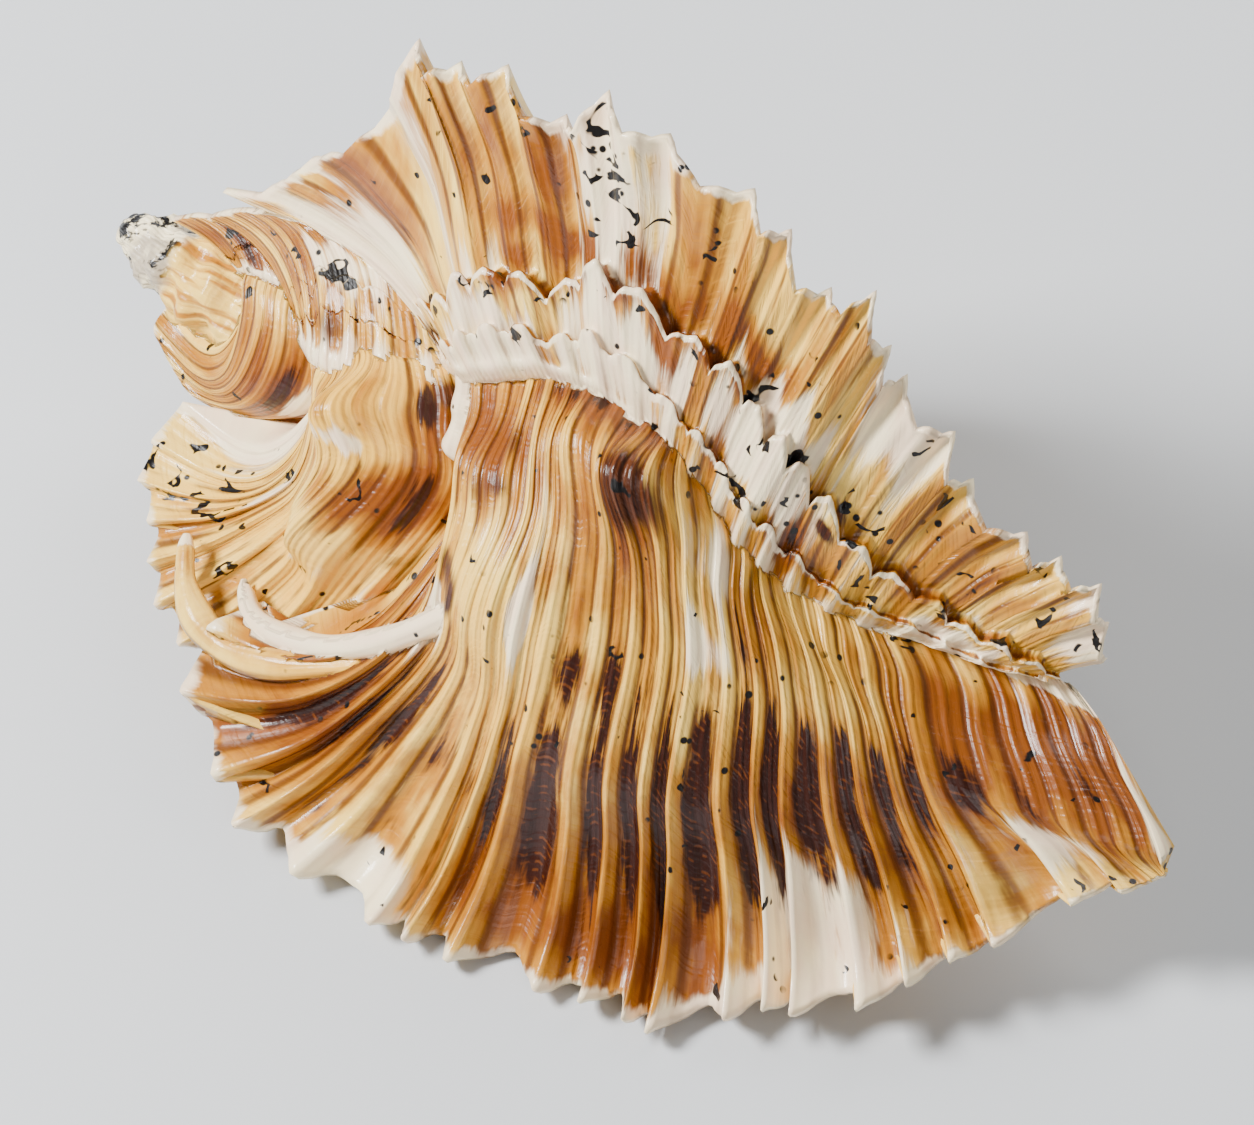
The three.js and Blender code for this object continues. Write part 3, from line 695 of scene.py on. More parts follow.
def colour_fields(age, facts):
    """Soft fields of colour over a stretch, for the material to break up."""
    place, way = facts["place"], facts["way"]
    honey = HONEY_LEVEL + HONEY_SWING * waves(place * 0.5 + 3, age) + field(HONEY, age, place, way)
    chocolate = field(CHOCOLATE, age, place, way)
    white = field(WHITE, age, place, way) + 0.6 * bell(way, 1.0, 0.035)
    if age > WINGS_A_TURN:
        honey = honey + EARLY_HONEY
    if age == UPPER:
        honey = honey + UPPER_WING_HONEY
    if age % WINGS_A_TURN == UPPER:
        more_honey, more_chocolate, more_white = tier_fields(place, way, facts["step"])
        honey = honey + more_honey
        chocolate = chocolate + more_chocolate
        white = white + more_white
    if age == 0:
        white = white + 0.9 * (1 - ease(way, -0.88, -0.80)) * ease(place, 3, 5)
        honey = honey + 0.5 * (1 - ease(place, 0.5, 3.0)) * (1 - ease(way, -0.7, -0.3))
    facts.update(honey=honey, chocolate=chocolate, white=white,
                 dark=field(DARK, age, place, way), mark=field(MARKS, age, place, way))


# The mouth is a sweep of rings back into the whorl: the middle and half width of its first ring
# along the axis and outwards, the angle it starts at, and how far it turns, narrows and ends
# blunt. The depth is only for the material.
MOUTH_ALONG, MOUTH_HALF_LENGTH = 50, 10
MOUTH_RADIUS, MOUTH_HALF_WIDTH = 11.5, 5.1
MOUTH_ANGLE, MOUTH_TURN = 231, 100
MOUTH_NARROWING = 0.22
MOUTH_BLUNTNESS = 0.95
MOUTH_DEPTH = 25


def mouth_sheet():
    """Closed sweep that hollows the mouth: rings from the lip back into the whorl."""
    rings, sides = 30, 48
    ring = np.concatenate([[0], np.arange(rings + 1), [rings]]) / rings
    closed = np.zeros(len(ring), bool)
    closed[[0, -1]] = True
    turn = np.linspace(0, 2 * np.pi, sides + 1)
    size = (1 - MOUTH_NARROWING * ring)[:, None]
    width = np.where(closed, 0, np.sqrt(1 - ring ** 3 * MOUTH_BLUNTNESS))[:, None]
    along = (MOUTH_ALONG + MOUTH_HALF_LENGTH * width * np.cos(turn)) * size
    radius = (MOUTH_RADIUS + MOUTH_HALF_WIDTH * width * np.sin(turn)) * size
    points = around(along, radius, (MOUTH_ANGLE - MOUTH_TURN * ring)[:, None])
    shape = points.shape[:2]
    facts = blank_facts(shape)
    facts["age"] = np.full(shape, MOUTH_AGE)
    facts["place"] = np.broadcast_to(turn, shape)
    facts["grown"] = np.broadcast_to(ring[:, None] * MOUTH_DEPTH, shape)
    return points, facts


# The worn tip of the apex, from its point: radius and distance along the shell's axis. Then how
# many degrees it leans, and between which distances its lumps give way to ribs.
NUB = [(0, 0.1), (0.9, 0.3), (1.5, 1.2), (2.0, 2.6), (2.5, 4.4), (3.0, 6.6), (3.3, 9), (2.8, 12), (0, 14)]
NUB_LEAN = 8
NUB_RIBBED = (4, 6)


def nub_sheet():
    """The tip of the apex: lumpy where its first whorls have weathered away, ribbed further on."""
    rings, sides = 36, 40
    out, along = between(NUB, np.linspace(0, len(NUB) - 1, rings + 1)).T
    out = np.clip(out, 0, None)
    out[[0, -1]] = 0
    along = along[:, None]
    turn = np.linspace(0, 2 * np.pi, sides + 1)
    ribbed = ease(along, *NUB_RIBBED)
    lumps = 1 + 0.12 * np.sin(2 * turn + along * 1.6) + 0.09 * np.sin(5 * turn - along * 2.3)
    lumps = lumps + 0.06 * np.sin(7 * turn + along * 5.1) * (1 - ribbed)
    lumps = lumps + 0.06 * np.cos(11 * turn + along * 0.7) * ribbed
    points = around(along, out[:, None] * lumps, np.degrees(turn)[None, :])
    lean = Matrix.Rotation(math.radians(NUB_LEAN), 3, "Y")
    roll = Matrix.Rotation(math.radians(CANAL_BEND_ANGLE + 90), 3, "X")
    points = points @ np.array(roll @ lean).T
    shape = points.shape[:2]
    facts = blank_facts(shape)
    facts["age"] = np.full(shape, NUB_AGE)
    facts["place"] = np.broadcast_to(turn, shape)
    facts["grown"] = np.broadcast_to(along, shape)
    return points, facts


# Rounded callus laid on the shell: the lobe that drips from the foot of the upper wing into the
# suture, the strip along the shoulder of the lip with its small spike, and the lip's horn. Each
# row is an angle, a distance along the axis and a radius, then the half width there.
CALLUS = [
    {"white": 2.0, "honey": 0.0, "path": [
        (110, 31.2, 11.6, 0.5), (117, 31.3, 11.4, 1.5), (124, 31.5, 10.9, 1.35), (131, 31.8, 10.5, 1.2),
        (138, 31.9, 10.4, 1.35), (144, 32.0, 10.2, 1.2), (148, 32.0, 10.0, 0.5)]},
    {"white": 1.6, "honey": 0.0, "path": [
        (166, 38.6, 17.0, 0.4), (173, 37.0, 17.8, 1.0), (182, 33.8, 19.2, 0.95), (189, 30.6, 20.1, 0.8),
        (194, 27.6, 20.6, 1.0), (197, 24.6, 20.6, 0.8), (199, 22.4, 20.0, 0.8), (199.5, 21.0, 18.8, 0.5),
        (199.5, 20.4, 18.0, 0.2)]},
    {"white": 0.0, "honey": 0.35, "path": [
        (199, 15.4, 17.0, 0.25), (199, 16.0, 18.2, 0.6), (199.5, 17.2, 20.2, 0.85), (200, 19.4, 22.0, 1.1),
        (199.5, 22.4, 22.8, 1.15), (197, 26.0, 22.4, 1.0), (193, 30.0, 21.2, 0.8), (188, 34.0, 19.4, 0.4)]},
]
CALLUS_RINGS = 8
CALLUS_SIDES = 20


def unit(vectors):
    """Rows of vectors, each brought to length 1."""
    return vectors / np.linalg.norm(vectors, axis=1)[:, None]


def callus_sheet(callus):
    """A closed grid of rings along the middle line of one rounded piece of callus."""
    path = callus["path"]
    ring = np.linspace(0, len(path) - 1, CALLUS_RINGS * (len(path) - 1) + 1)
    angle, along, radius, width = between(path, ring).T
    width[[0, -1]] = 0
    centres = around(along, radius, angle)
    ahead = unit(np.gradient(centres, axis=0))
    across = unit(np.cross(ahead, around(0.0, 1.0, angle)))
    above = np.cross(across, ahead)
    turn = np.linspace(0, 2 * np.pi, CALLUS_SIDES + 1)
    swell = (width * (1 + 0.12 * np.sin(ring * 2.9)))[:, None, None]
    points = centres[:, None] + swell * (across[:, None] * np.cos(turn)[None, :, None]
                                         + above[:, None] * np.sin(turn)[None, :, None])
    shape = points.shape[:2]
    facts = blank_facts(shape)
    tip = 1 - ease(ring, 0.4, 1.2)
    facts["white"] = np.broadcast_to((callus["white"] + 1.5 * tip)[:, None], shape)
    facts["honey"] = np.full(shape, callus["honey"]) + 0.7 * (np.cos(turn)[None, :] > 0.3)
    facts["place"] = np.broadcast_to(turn / (2 * np.pi), shape)
    facts["grown"] = np.broadcast_to(ring[:, None] * 3, shape)
    return points, facts


def restore_facts(piece, known):
    """Give every point the facts of the nearest grid point, because joining leaves new ones blank."""
    places, facts = (np.concatenate(part) for part in zip(*known))
    tree = KDTree(len(places))
    for i, place in enumerate(places):
        tree.insert(place, i)
    tree.balance()
    nearest = [tree.find(vert.co)[1] for vert in piece.data.vertices]
    for column, fact in enumerate(POINT_FACTS):
        layer = piece.data.attributes.new(fact, "FLOAT", "POINT")
        layer.data.foreach_set("value", facts[nearest, column].astype(np.float32))


def join(target, other, operation):
    """Join or cut one closed mesh with another and keep the result in the first."""
    cut = target.modifiers.new(operation.title(), "BOOLEAN")
    cut.operation = operation
    cut.object = other
    cut.solver = "MANIFOLD"
    depsgraph = bpy.context.evaluated_depsgraph_get()
    result = bpy.data.meshes.new_from_object(target.evaluated_get(depsgraph))
    target.modifiers.clear()
    old = target.data
    target.data = result
    bpy.data.meshes.remove(old)
    mesh = other.data
    bpy.data.objects.remove(other)
    bpy.data.meshes.remove(mesh)


def connected_groups(bm):
    """The mesh's points in groups that edges join, the largest group first."""
    seen = set()
    groups = []
    for vert in bm.verts:
        if vert in seen:
            continue
        group, queue = [], [vert]
        seen.add(vert)
        while queue:
            here = queue.pop()
            group.append(here)
            for edge in here.link_edges:
                there = edge.other_vert(here)
                if there not in seen:
                    seen.add(there)
                    queue.append(there)
        groups.append(group)
    return sorted(groups, key=len, reverse=True)


def tidy_mesh(piece):
    """Wear the tips flat on the floor, drop loose slivers and shade the surface smoothly."""
    bm = bmesh.new()
    bm.from_mesh(piece.data)
    cut = bmesh.ops.bisect_plane(bm, geom=bm.verts[:] + bm.edges[:] + bm.faces[:], dist=1e-7,
                                 plane_co=(0, 0, 0), plane_no=(0, 0, -1), clear_outer=True)
    open_edges = [item for item in cut["geom_cut"] if isinstance(item, bmesh.types.BMEdge)]
    bmesh.ops.triangle_fill(bm, edges=open_edges, use_beauty=True)
    bmesh.ops.remove_doubles(bm, verts=bm.verts, dist=0.02 * MM)
    slivers = [vert for group in connected_groups(bm)[1:] for vert in group]
    bmesh.ops.delete(bm, geom=slivers, context="VERTS")
    for face in bm.faces:
        face.smooth = True
    bm.to_mesh(piece.data)
    bm.free()
    for name in ("sharp_face", "sharp_edge"):
        if name in piece.data.attributes:
            piece.data.attributes.remove(piece.data.attributes[name])


class Wiring:
    """Short ways to add nodes to one tree and link them."""

    def __init__(self, tree):
        self.tree = tree

    def node(self, kind, **settings):
        made = self.tree.nodes.new(kind)
        for name, value in settings.items():
            setattr(made, name, value)
        return made

    def put(self, socket, value):
        """Link a value that is another node's output, and set one that is a plain number."""
        if isinstance(value, bpy.types.NodeSocket):
            self.tree.links.new(value, socket)
        else:
            socket.default_value = value

    def math(self, operation, first, second=0.0, third=None):
        made = self.node("ShaderNodeMath", operation=operation)
        self.put(made.inputs[0], first)
        self.put(made.inputs[1], second)
        if third is not None:
            self.put(made.inputs[2], third)
        return made.outputs[0]

    def times(self, first, second):
        return self.math("MULTIPLY", first, second)

    def total(self, first, *others):
        for other in others:
            first = self.math("ADD", first, other)
        return first

    def swing(self, value, size):
        """A value from 0 to 1 turned into a swing of a size about 0."""
        return self.times(self.math("SUBTRACT", value, 0.5), size)

    def wave(self, operation, angle):
        """Sine or cosine of an angle as a wave from 0 to 1."""
        return self.math("MULTIPLY_ADD", self.math(operation, angle), 0.5, 0.5)

    def attribute(self, name):
        return self.node("ShaderNodeAttribute", attribute_name=name).outputs["Fac"]

    def noise(self, vector, scale, detail=2.0, rough=0.5, distortion=0.0):
        made = self.node("ShaderNodeTexNoise")
        self.put(made.inputs["Vector"], vector)
        made.inputs["Scale"].default_value = scale
        made.inputs["Detail"].default_value = detail
        made.inputs["Roughness"].default_value = rough
        made.inputs["Distortion"].default_value = distortion
        return made.outputs["Fac"]

    def combine(self, x, y, z):
        made = self.node("ShaderNodeCombineXYZ")
        for socket, value in zip(made.inputs, (x, y, z)):
            self.put(socket, value)
        return made.outputs[0]

    def ramp(self, value, low, high):
        """Smooth step from 0 at low to 1 at high."""
        made = self.node("ShaderNodeMapRange", interpolation_type="SMOOTHSTEP")
        self.put(made.inputs["Value"], value)
        self.put(made.inputs["From Min"], low)
        self.put(made.inputs["From Max"], high)
        return made.outputs["Result"]

    def blend(self, part, first, second):
        made = self.node("ShaderNodeMix", data_type="RGBA")
        self.put(made.inputs[0], part)
        self.put(made.inputs[6], first)
        self.put(made.inputs[7], second)
        return made.outputs[2]


# Scales of the shell's patterns, per metre of the object.
CLOUD_SCALE = 110
GRAIN_SCALE = 900
SCRIBBLE_SCALE = 300
SCRIBBLE_PLACES = 480
DOT_CELLS = 620
DOT_PLACES = 200
BEAD_PLACES = 1500
BLOTCH_SCALE = 430
ASH_SCALE = 320

# Spacing of the beads in the dark bands and of the growth lines, and depth of the relief, in
# millimetres.
BEAD_SPACING = 0.6
GROWTH_LINE_SPACING = 0.8
RELIEF_DEPTH = 0.12

# The mouth and the last stretch have ages below these, and the worn nub has one above.
MOUTH_BELOW = -0.2
LAST_BELOW = 0.5
NUB_ABOVE = 7.4


class ShellPaint(Wiring):
    """The layers of colour and relief of the shell's material, and the patterns they share."""

    def __init__(self, tree, colours):
        super().__init__(tree)
        self.colours = colours
        self.place = self.attribute("place")
        self.grown = self.attribute("grown")
        self.age = self.attribute("age")
        self.marked = self.attribute("mark")
        self.banded = self.attribute("chocolate")
        self.coords = self.node("ShaderNodeTexCoord").outputs["Object"]
        self.turn = self.times(self.place, 2 * math.pi)
        self.rib = self.wave("COSINE", self.turn)
        self.threads = self.noise(self.stretched(5.0, 0.10), 1.5, detail=3, rough=0.6)
        self.streaks = self.noise(self.stretched(1.6, 0.16), 1.3, detail=3, rough=0.55)
        self.cloud = self.noise(self.coords, CLOUD_SCALE, detail=3)
        self.grain = self.noise(self.coords, GRAIN_SCALE, detail=3)

    def stretched(self, across, along):
        """Coordinates that follow the growth: so much to a rib, and so much to a millimetre."""
        return self.combine(self.times(self.place, across), self.times(self.grown, along), self.age)

    def tint(self, name):
        """One of the shell's colours, as a colour socket takes it."""
        return (*getattr(self.colours, name), 1)

    def ground(self):
        """Cream with butter clouds."""
        return self.blend(self.ramp(self.cloud, 0.35, 0.65), self.tint("cream"), self.tint("butter"))

    def cord_amount(self):
        """How far the ground gives way to the cords' honey and amber, less where highlights are painted on
        knobs and more in the painted shade under the hoods.
        """
        amount = self.total(self.attribute("honey"), self.swing(self.streaks, 1.5),
                            self.swing(self.threads, 0.7), self.swing(self.rib, -0.45))
        return self.total(amount, self.times(self.banded, 0.5))

    def pale_amount(self):
        """How far the worn white shows, with the white of highlights painted on two knobs, and less white
        in the painted shade under the hoods.
        """
        pale = self.total(self.attribute("white"), self.swing(self.cloud, 0.6),
                          self.swing(self.threads, 1.0), self.swing(self.rib, 0.35))
        return self.ramp(pale, 0.36, 0.66)

    def add_cords(self, colour, amount):
        """Honey where the amount is middling, and amber where it is high."""
        colour = self.blend(self.ramp(amount, 0.25, 0.95), colour, self.tint("honey"))
        return self.blend(self.ramp(amount, 0.85, 1.45), colour, self.tint("amber"))

    def add_white(self, colour, pale):
        """Worn white with a rosy tinge in streaks, also used for the highlights painted on two knobs."""
        white = self.blend(self.ramp(self.streaks, 0.35, 0.65), self.tint("white"), self.tint("rosy"))
        return self.blend(self.times(pale, 0.94), colour, white)

    def add_lines(self, colour, amount, pale):
        """Thin umber lines between the cords, broken up and fainter on the white."""
        cord = self.wave("COSINE", self.times(self.turn, 2.0))
        broken = self.ramp(self.total(amount, self.swing(self.threads, 1.4)), 0.0, 0.7)
        line = self.times(self.ramp(cord, 0.22, 0.0), broken)
        faint = self.math("SUBTRACT", 0.85, self.times(pale, 0.62))
        return self.blend(self.times(line, faint), colour, self.tint("umber"))

    def add_bands(self, colour):
        """Dark bands in the grooves, with amber beads on the last stretch; the same brown paints shade
        under the hoods and in the crevice by the callus lobe.
        """
        groove = self.math("SUBTRACT", 1.28, self.times(self.rib, 1.45))
        band = self.total(self.times(self.banded, groove), self.swing(self.threads, 1.6),
                          self.swing(self.streaks, 0.9))
        beads = self.wave("SINE", self.times(self.grown, 2 * math.pi / BEAD_SPACING))
        patches = self.ramp(self.noise(self.coords, BEAD_PLACES, detail=1), 0.5, 0.62)
        beads = self.times(self.ramp(beads, 0.5, 1.0), patches)
        beads = self.times(beads, self.math("LESS_THAN", self.age, LAST_BELOW))
        beaded = self.blend(self.times(beads, 0.4), self.tint("chocolate"), self.tint("amber"))
        return self.blend(self.ramp(band, 0.34, 0.70), colour, beaded)

    def add_stains(self, colour):
        """Dark stains, such as the one on the largest knob."""
        stain = self.total(self.attribute("dark"), self.swing(self.threads, 1.1),
                           self.swing(self.cloud, 0.5))
        deep = self.blend(self.ramp(self.threads, 0.35, 0.65), self.tint("chocolate"), self.tint("umber"))
        return self.blend(self.ramp(stain, 0.25, 0.95), colour, deep)

    def add_specks(self, colour):
        """Black scribbles and dots, most of them where the shell is marked."""
        path = self.noise(self.coords, SCRIBBLE_SCALE, distortion=0.6)
        scribble = self.ramp(self.math("ABSOLUTE", self.math("SUBTRACT", path, 0.5)), 0.040, 0.028)
        where = self.total(self.noise(self.coords, SCRIBBLE_PLACES), self.times(self.marked, 0.12))
        scribble = self.times(scribble, self.ramp(where, 0.68, 0.70))
        cells = self.node("ShaderNodeTexVoronoi", feature="F1")
        self.put(cells.inputs["Vector"], self.coords)
        cells.inputs["Scale"].default_value = DOT_CELLS
        dots = self.ramp(cells.outputs["Distance"], 0.20, 0.14)
        where = self.total(self.noise(self.coords, DOT_PLACES), self.times(self.marked, 0.1))
        dots = self.times(dots, self.ramp(where, 0.57, 0.62))
        return self.blend(self.math("MAXIMUM", scribble, dots), colour, self.tint("soot"))

    def nub(self, ground):
        """Chalky and blotched at the apex's point, and banded with honey further on."""
        chalk = self.ramp(self.noise(self.coords, ASH_SCALE, detail=3), 0.42, 0.55)
        point = self.blend(chalk, self.tint("white"), self.tint("ash"))
        blotch = self.noise(self.coords, BLOTCH_SCALE, detail=4, rough=0.65, distortion=0.3)
        point = self.blend(self.ramp(blotch, 0.53, 0.58), point, self.tint("soot"))
        winding = self.math("MULTIPLY_ADD", self.place, 4.0, self.times(self.grown, 0.25))
        bands = self.noise(self.combine(winding, self.times(self.grown, 0.12), 0.0), 1.0, detail=4)
        base = self.blend(self.ramp(bands, 0.45, 0.6), ground, self.tint("honey"))
        reach = self.total(self.grown, self.swing(self.cloud, 4.0))
        return self.blend(self.ramp(reach, 4.6, 5.6), point, base)

    def relief(self, pale):
        """Height of the fine cords, growth lines and grain, calmer on the white, none in the mouth."""
        uneven = self.noise(self.stretched(0.8, 0.8), 1.0, detail=4)
        lines = self.math("MULTIPLY_ADD", self.grown, 2 * math.pi / GROWTH_LINE_SPACING,
                          self.swing(uneven, 22.0))
        lines = self.wave("SINE", lines)
        rise = self.times(self.math("COSINE", self.times(self.turn, 6.0)), 0.25)
        rise = self.total(rise, self.times(lines, 0.16), self.times(uneven, 0.9), self.threads,
                          self.times(self.grain, 0.35))
        calm = self.math("SUBTRACT", 1.0, self.times(pale, 0.6))
        return self.times(rise, self.times(self.math("GREATER_THAN", self.age, MOUTH_BELOW), calm))


def shell_material(colours):
    """Glossy grown shell: cream ground, honey cords, chocolate bands and black specks."""
    material = bpy.data.materials.new("murex_shell")
    material.use_nodes = True
    material.node_tree.nodes.clear()
    paint = ShellPaint(material.node_tree, colours)
    ground, amount, pale = paint.ground(), paint.cord_amount(), paint.pale_amount()
    colour = paint.add_cords(ground, amount)
    colour = paint.add_white(colour, pale)
    colour = paint.add_lines(colour, amount, pale)
    colour = paint.add_bands(colour)
    colour = paint.add_stains(colour)
    colour = paint.add_specks(colour)
    inside = paint.math("LESS_THAN", paint.age, MOUTH_BELOW)
    colour = paint.blend(inside, colour, paint.tint("porcelain"))
    worn = paint.math("GREATER_THAN", paint.age, NUB_ABOVE)
    colour = paint.blend(worn, colour, paint.nub(ground))

    bump = paint.node("ShaderNodeBump")
    bump.inputs["Strength"].default_value = 0.8
    bump.inputs["Distance"].default_value = RELIEF_DEPTH * MM
    paint.put(bump.inputs["Height"], paint.relief(pale))
    surface = paint.node("ShaderNodeBsdfPrincipled")
    paint.put(surface.inputs["Base Color"], colour)
    paint.put(surface.inputs["Roughness"], paint.math("MULTIPLY_ADD", paint.grain, 0.25, 0.22))
    paint.put(surface.inputs["Normal"], bump.outputs[0])
    surface.inputs["Specular IOR Level"].default_value = 0.3
    surface.inputs["Coat Weight"].default_value = 0.22
    surface.inputs["Coat Roughness"].default_value = 0.10
    output = paint.node("ShaderNodeOutputMaterial")
    paint.put(output.inputs[0], surface.outputs[0])
    return material


class MurexForm(PropertyGroup):
    """Sizes of the shell."""
    plate: FloatProperty(name="Plate", description="Thickness of a wing at its edge",
                         default=1.0 * MM, unit="LENGTH", precision=5)
    cord_height: FloatProperty(name="Cord height", description="Height of the cords on the last whorl",
                               default=0.5 * MM, unit="LENGTH", precision=5)
    pleat_depth: FloatProperty(name="Pleat depth", description="Half depth of the pleats at a wing's edge",
                               default=1.5 * MM, unit="LENGTH", precision=5)
    notch_depth: FloatProperty(name="Notch depth", description="Depth of the notches between a wing's ribs",
                               default=1.3 * MM, unit="LENGTH", precision=5)
    tier_height: FloatProperty(name="Tier height", description="How proud the hooded scales stand",
                               default=2.0 * MM, unit="LENGTH", precision=5)
    fineness: FloatProperty(name="Fineness", description="Share of the full number of columns to a rib",
                            default=1.0, min=0.3, max=1.0)


class MurexColours(PropertyGroup):
    """Colours of the shell and its floor, as linear red, green and blue."""
    cream: FloatVectorProperty(name="Cream", description="Ground colour between the cords",
                               subtype="COLOR", default=(0.93, 0.61, 0.13))
    butter: FloatVectorProperty(name="Butter", description="Warmer patches of the ground",
                                subtype="COLOR", default=(0.90, 0.49, 0.06))
    # Honey also paints part of the shade under the hooded scales.
    honey: FloatVectorProperty(name="Honey", description="Colour of the cords",
                               subtype="COLOR", default=(0.48, 0.19, 0.012))
    amber: FloatVectorProperty(name="Amber", description="Deepest colour of the cords",
                               subtype="COLOR", default=(0.22, 0.056, 0.004))
    umber: FloatVectorProperty(name="Umber", description="Thin lines between the cords",
                               subtype="COLOR", default=(0.10, 0.024, 0.003))
    # Chocolate also paints the shade under the hooded scales and in the crevice by the callus lobe.
    chocolate: FloatVectorProperty(name="Chocolate", description="Dark bands in the grooves",
                                   subtype="COLOR", default=(0.028, 0.005, 0.0015))
    soot: FloatVectorProperty(name="Soot", description="Black specks and stains",
                              subtype="COLOR", default=(0.004, 0.003, 0.003))
    # White also paints the highlights on two knobs of the whorl before the last.
    white: FloatVectorProperty(name="White", description="Worn edges and callus",
                               subtype="COLOR", default=(0.97, 0.83, 0.54))
    rosy: FloatVectorProperty(name="Rosy white", description="Pinkish tinge of the callus",
                              subtype="COLOR", default=(0.93, 0.72, 0.50))
    ash: FloatVectorProperty(name="Ash", description="Weathered grey of the apex",
                             subtype="COLOR", default=(0.46, 0.38, 0.27))
    porcelain: FloatVectorProperty(name="Porcelain", description="Inside of the mouth",
                                   subtype="COLOR", default=(0.80, 0.76, 0.72))
    floor: FloatVectorProperty(name="Floor", description="Plain pale floor",
                               subtype="COLOR", default=(0.58, 0.60, 0.62))


class MUREX_OT_grow_shell(Operator):
    """Grow the whole shell, from the worn apex to the lip and the canal"""
    bl_idname = "murex.grow_shell"
    bl_label = "Grow shell"

    def execute(self, context):
        form = context.scene.murex_form
        known = []
        stretches = []
        for age in range(len(WINGS)):
            points, facts = stretch_points(age, form)
            colour_fields(age, facts)
            stretches.append(closed_sheet(f"stretch_{age}", points, facts, known))
        shell = stretches[0]
        for stretch in stretches[1:]:
            join(shell, stretch, "UNION")
        join(shell, closed_sheet("nub", *nub_sheet(), known), "UNION")
        for callus in CALLUS:
            join(shell, closed_sheet("callus", *callus_sheet(callus), known), "UNION")
        join(shell, closed_sheet("mouth", *mouth_sheet(), known), "DIFFERENCE")
        tidy_mesh(shell)
        restore_facts(shell, known)
        shell.name = "grown_shell"
        shell.data.materials.clear()
        shell.data.materials.append(shell_material(context.scene.murex_colours))
        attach(shell, "root")
        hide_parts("shell")
        return {"FINISHED"}


# The camera looks at the shell's own frame, turned about the upright and raised. The picture is
# placed by the apex, at the photograph's scale, and the lens is long because the view is flat.
CAMERA_TURN = math.radians(32)
CAMERA_RISE = math.radians(52)
CAMERA_LENS = 500
SENSOR = 36
MM_PER_PIXEL = 0.0657
IMAGE_SIZE = (1254, 1125)
APEX_PIXEL = (117, 220)
MIDDLE_DEPTH = 12.0
CLIP_START = 0.01

FLOOR_WIDTH = 4
FLOOR_ROUGHNESS = 0.85

# Soft light from all round, then each lamp's name, place, width and watts. All lamps point at
# the origin.
SKY_COLOUR = (0.96, 0.98, 1.0, 1)
SKY_STRENGTH = 0.19
LAMPS = [
    ("key", (-0.21, -0.15, 0.27), 0.10, 3.7),
    ("fill", (0.02, 0.28, 0.26), 0.24, 1.1),
    ("front", (0.26, -0.20, 0.26), 0.20, 0.45),
]


def place_camera(scene):
    """Put the camera at the photograph's angle and scale."""
    turn, rise = CAMERA_TURN, CAMERA_RISE
    right = np.array([math.cos(turn), math.sin(turn), 0.0])
    back = np.array([math.sin(turn) * math.cos(rise), -math.cos(turn) * math.cos(rise), math.sin(rise)])
    up = np.cross(back, right)
    across = (IMAGE_SIZE[0] / 2 - APEX_PIXEL[0]) * MM_PER_PIXEL
    above = (APEX_PIXEL[1] - IMAGE_SIZE[1] / 2) * MM_PER_PIXEL
    distance = CAMERA_LENS / SENSOR * IMAGE_SIZE[0] * MM_PER_PIXEL
    eye = settle(right * across + up * above + back * (MIDDLE_DEPTH + distance))
    origin = settle(np.zeros(3))
    basis = np.stack([settle(axis) - origin for axis in (right, up, back)]) / MM
    data = bpy.data.cameras.new("camera")
    data.lens = CAMERA_LENS
    data.sensor_width = SENSOR
    data.sensor_fit = "HORIZONTAL"
    data.clip_start = CLIP_START
    camera = bpy.data.objects.new("camera", data)
    camera.matrix_world = Matrix([[*basis[:, i], eye[i]] for i in range(3)] + [[0, 0, 0, 1]])
    scene.collection.objects.link(camera)
    scene.camera = camera


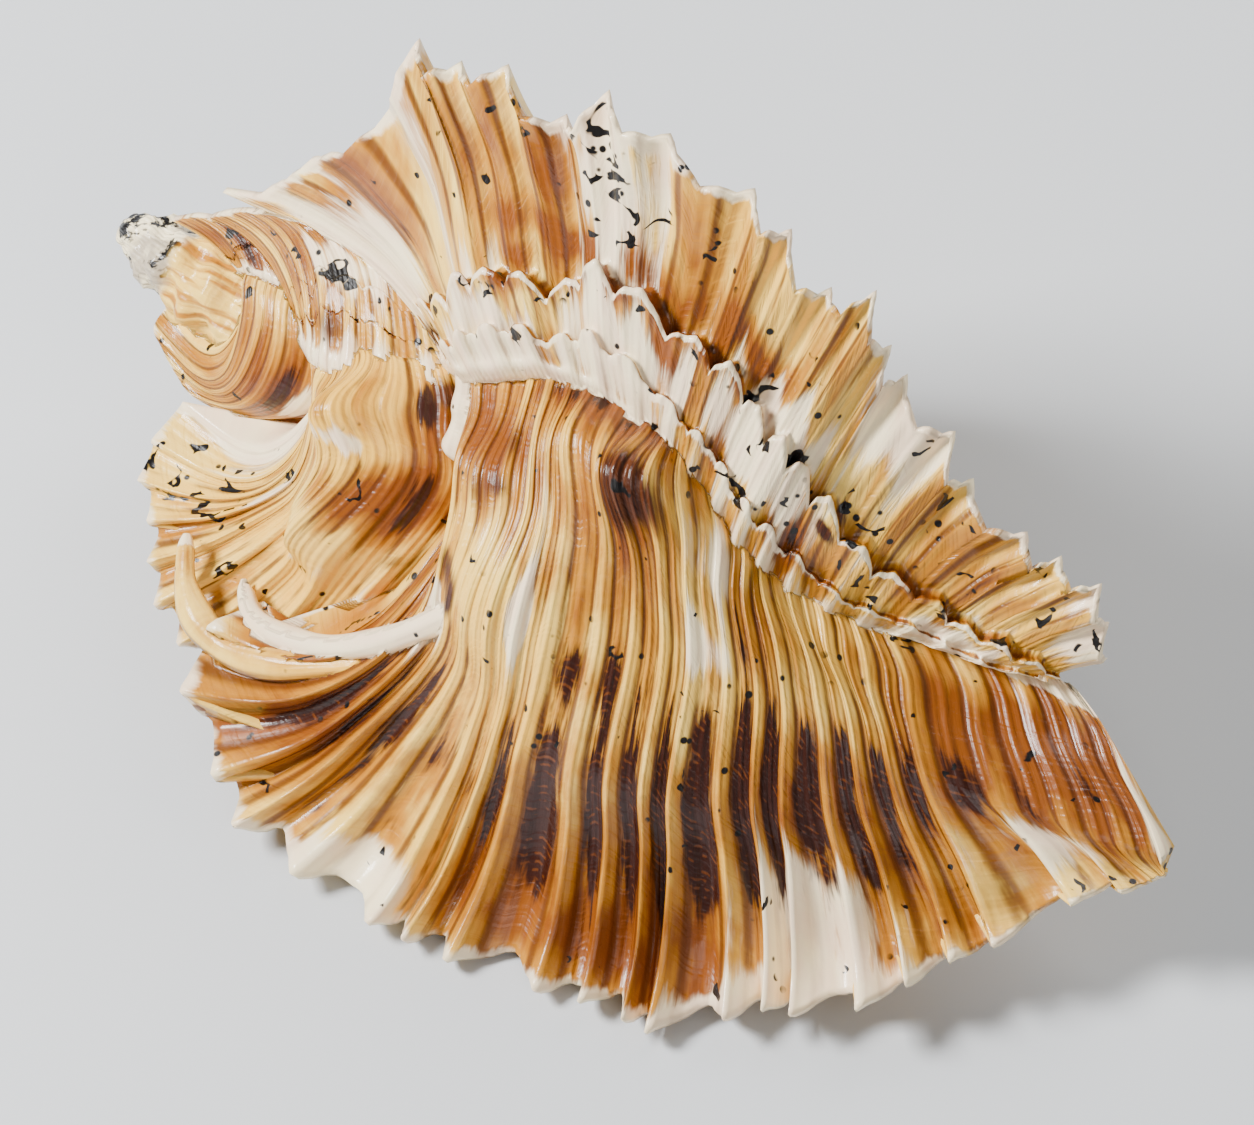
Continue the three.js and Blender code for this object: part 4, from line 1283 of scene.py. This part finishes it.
def lay_floor(context, colour):
    """A plain pale floor at height 0."""
    bpy.ops.mesh.primitive_plane_add(size=FLOOR_WIDTH)
    floor = context.active_object
    floor.name = "floor"
    material = bpy.data.materials.new("floor")
    material.use_nodes = True
    shader = material.node_tree.nodes["Principled BSDF"]
    shader.inputs["Base Color"].default_value = (*colour, 1)
    shader.inputs["Roughness"].default_value = FLOOR_ROUGHNESS
    floor.data.materials.append(material)


def set_lights(scene):
    """Soft light from all round and three lamps."""
    world = scene.world or bpy.data.worlds.new("soft")
    scene.world = world
    world.use_nodes = True
    background = world.node_tree.nodes["Background"]
    background.inputs["Color"].default_value = SKY_COLOUR
    background.inputs["Strength"].default_value = SKY_STRENGTH
    for name, where, width, watts in LAMPS:
        data = bpy.data.lights.new(name, "AREA")
        data.size = width
        data.energy = watts
        lamp = bpy.data.objects.new(name, data)
        lamp.location = where
        lamp.rotation_euler = (-Vector(where)).to_track_quat("-Z", "Y").to_euler()
        scene.collection.objects.link(lamp)


class MUREX_OT_set_stage(Operator):
    """Lay a pale floor, set soft lights and place the camera"""
    bl_idname = "murex.set_stage"
    bl_label = "Set stage"

    def execute(self, context):
        place_camera(context.scene)
        lay_floor(context, context.scene.murex_colours.floor)
        set_lights(context.scene)
        return {"FINISHED"}


class MUREX_PT_shell(Panel):
    """Sizes, colours and the two steps that build the shell"""
    bl_label = "Murex shell"
    bl_space_type = "VIEW_3D"
    bl_region_type = "UI"
    bl_category = "Murex"

    def draw(self, context):
        layout = self.layout
        for group in (context.scene.murex_form, context.scene.murex_colours):
            column = layout.column(align=True)
            for name in group.__annotations__:
                column.prop(group, name)
        layout.operator(MUREX_OT_grow_shell.bl_idname)
        layout.operator(MUREX_OT_set_stage.bl_idname)


CLASSES = (MurexForm, MurexColours, MUREX_OT_grow_shell, MUREX_OT_set_stage, MUREX_PT_shell)


def register():
    for cls in CLASSES:
        bpy.utils.register_class(cls)
    bpy.types.Scene.murex_form = PointerProperty(type=MurexForm)
    bpy.types.Scene.murex_colours = PointerProperty(type=MurexColours)


def unregister():
    del bpy.types.Scene.murex_form
    del bpy.types.Scene.murex_colours
    for cls in reversed(CLASSES):
        bpy.utils.unregister_class(cls)


def main():
    register()
    bpy.ops.murex.grow_shell()
    bpy.ops.murex.set_stage()
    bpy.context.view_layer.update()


if __name__ == "__main__":
    main()
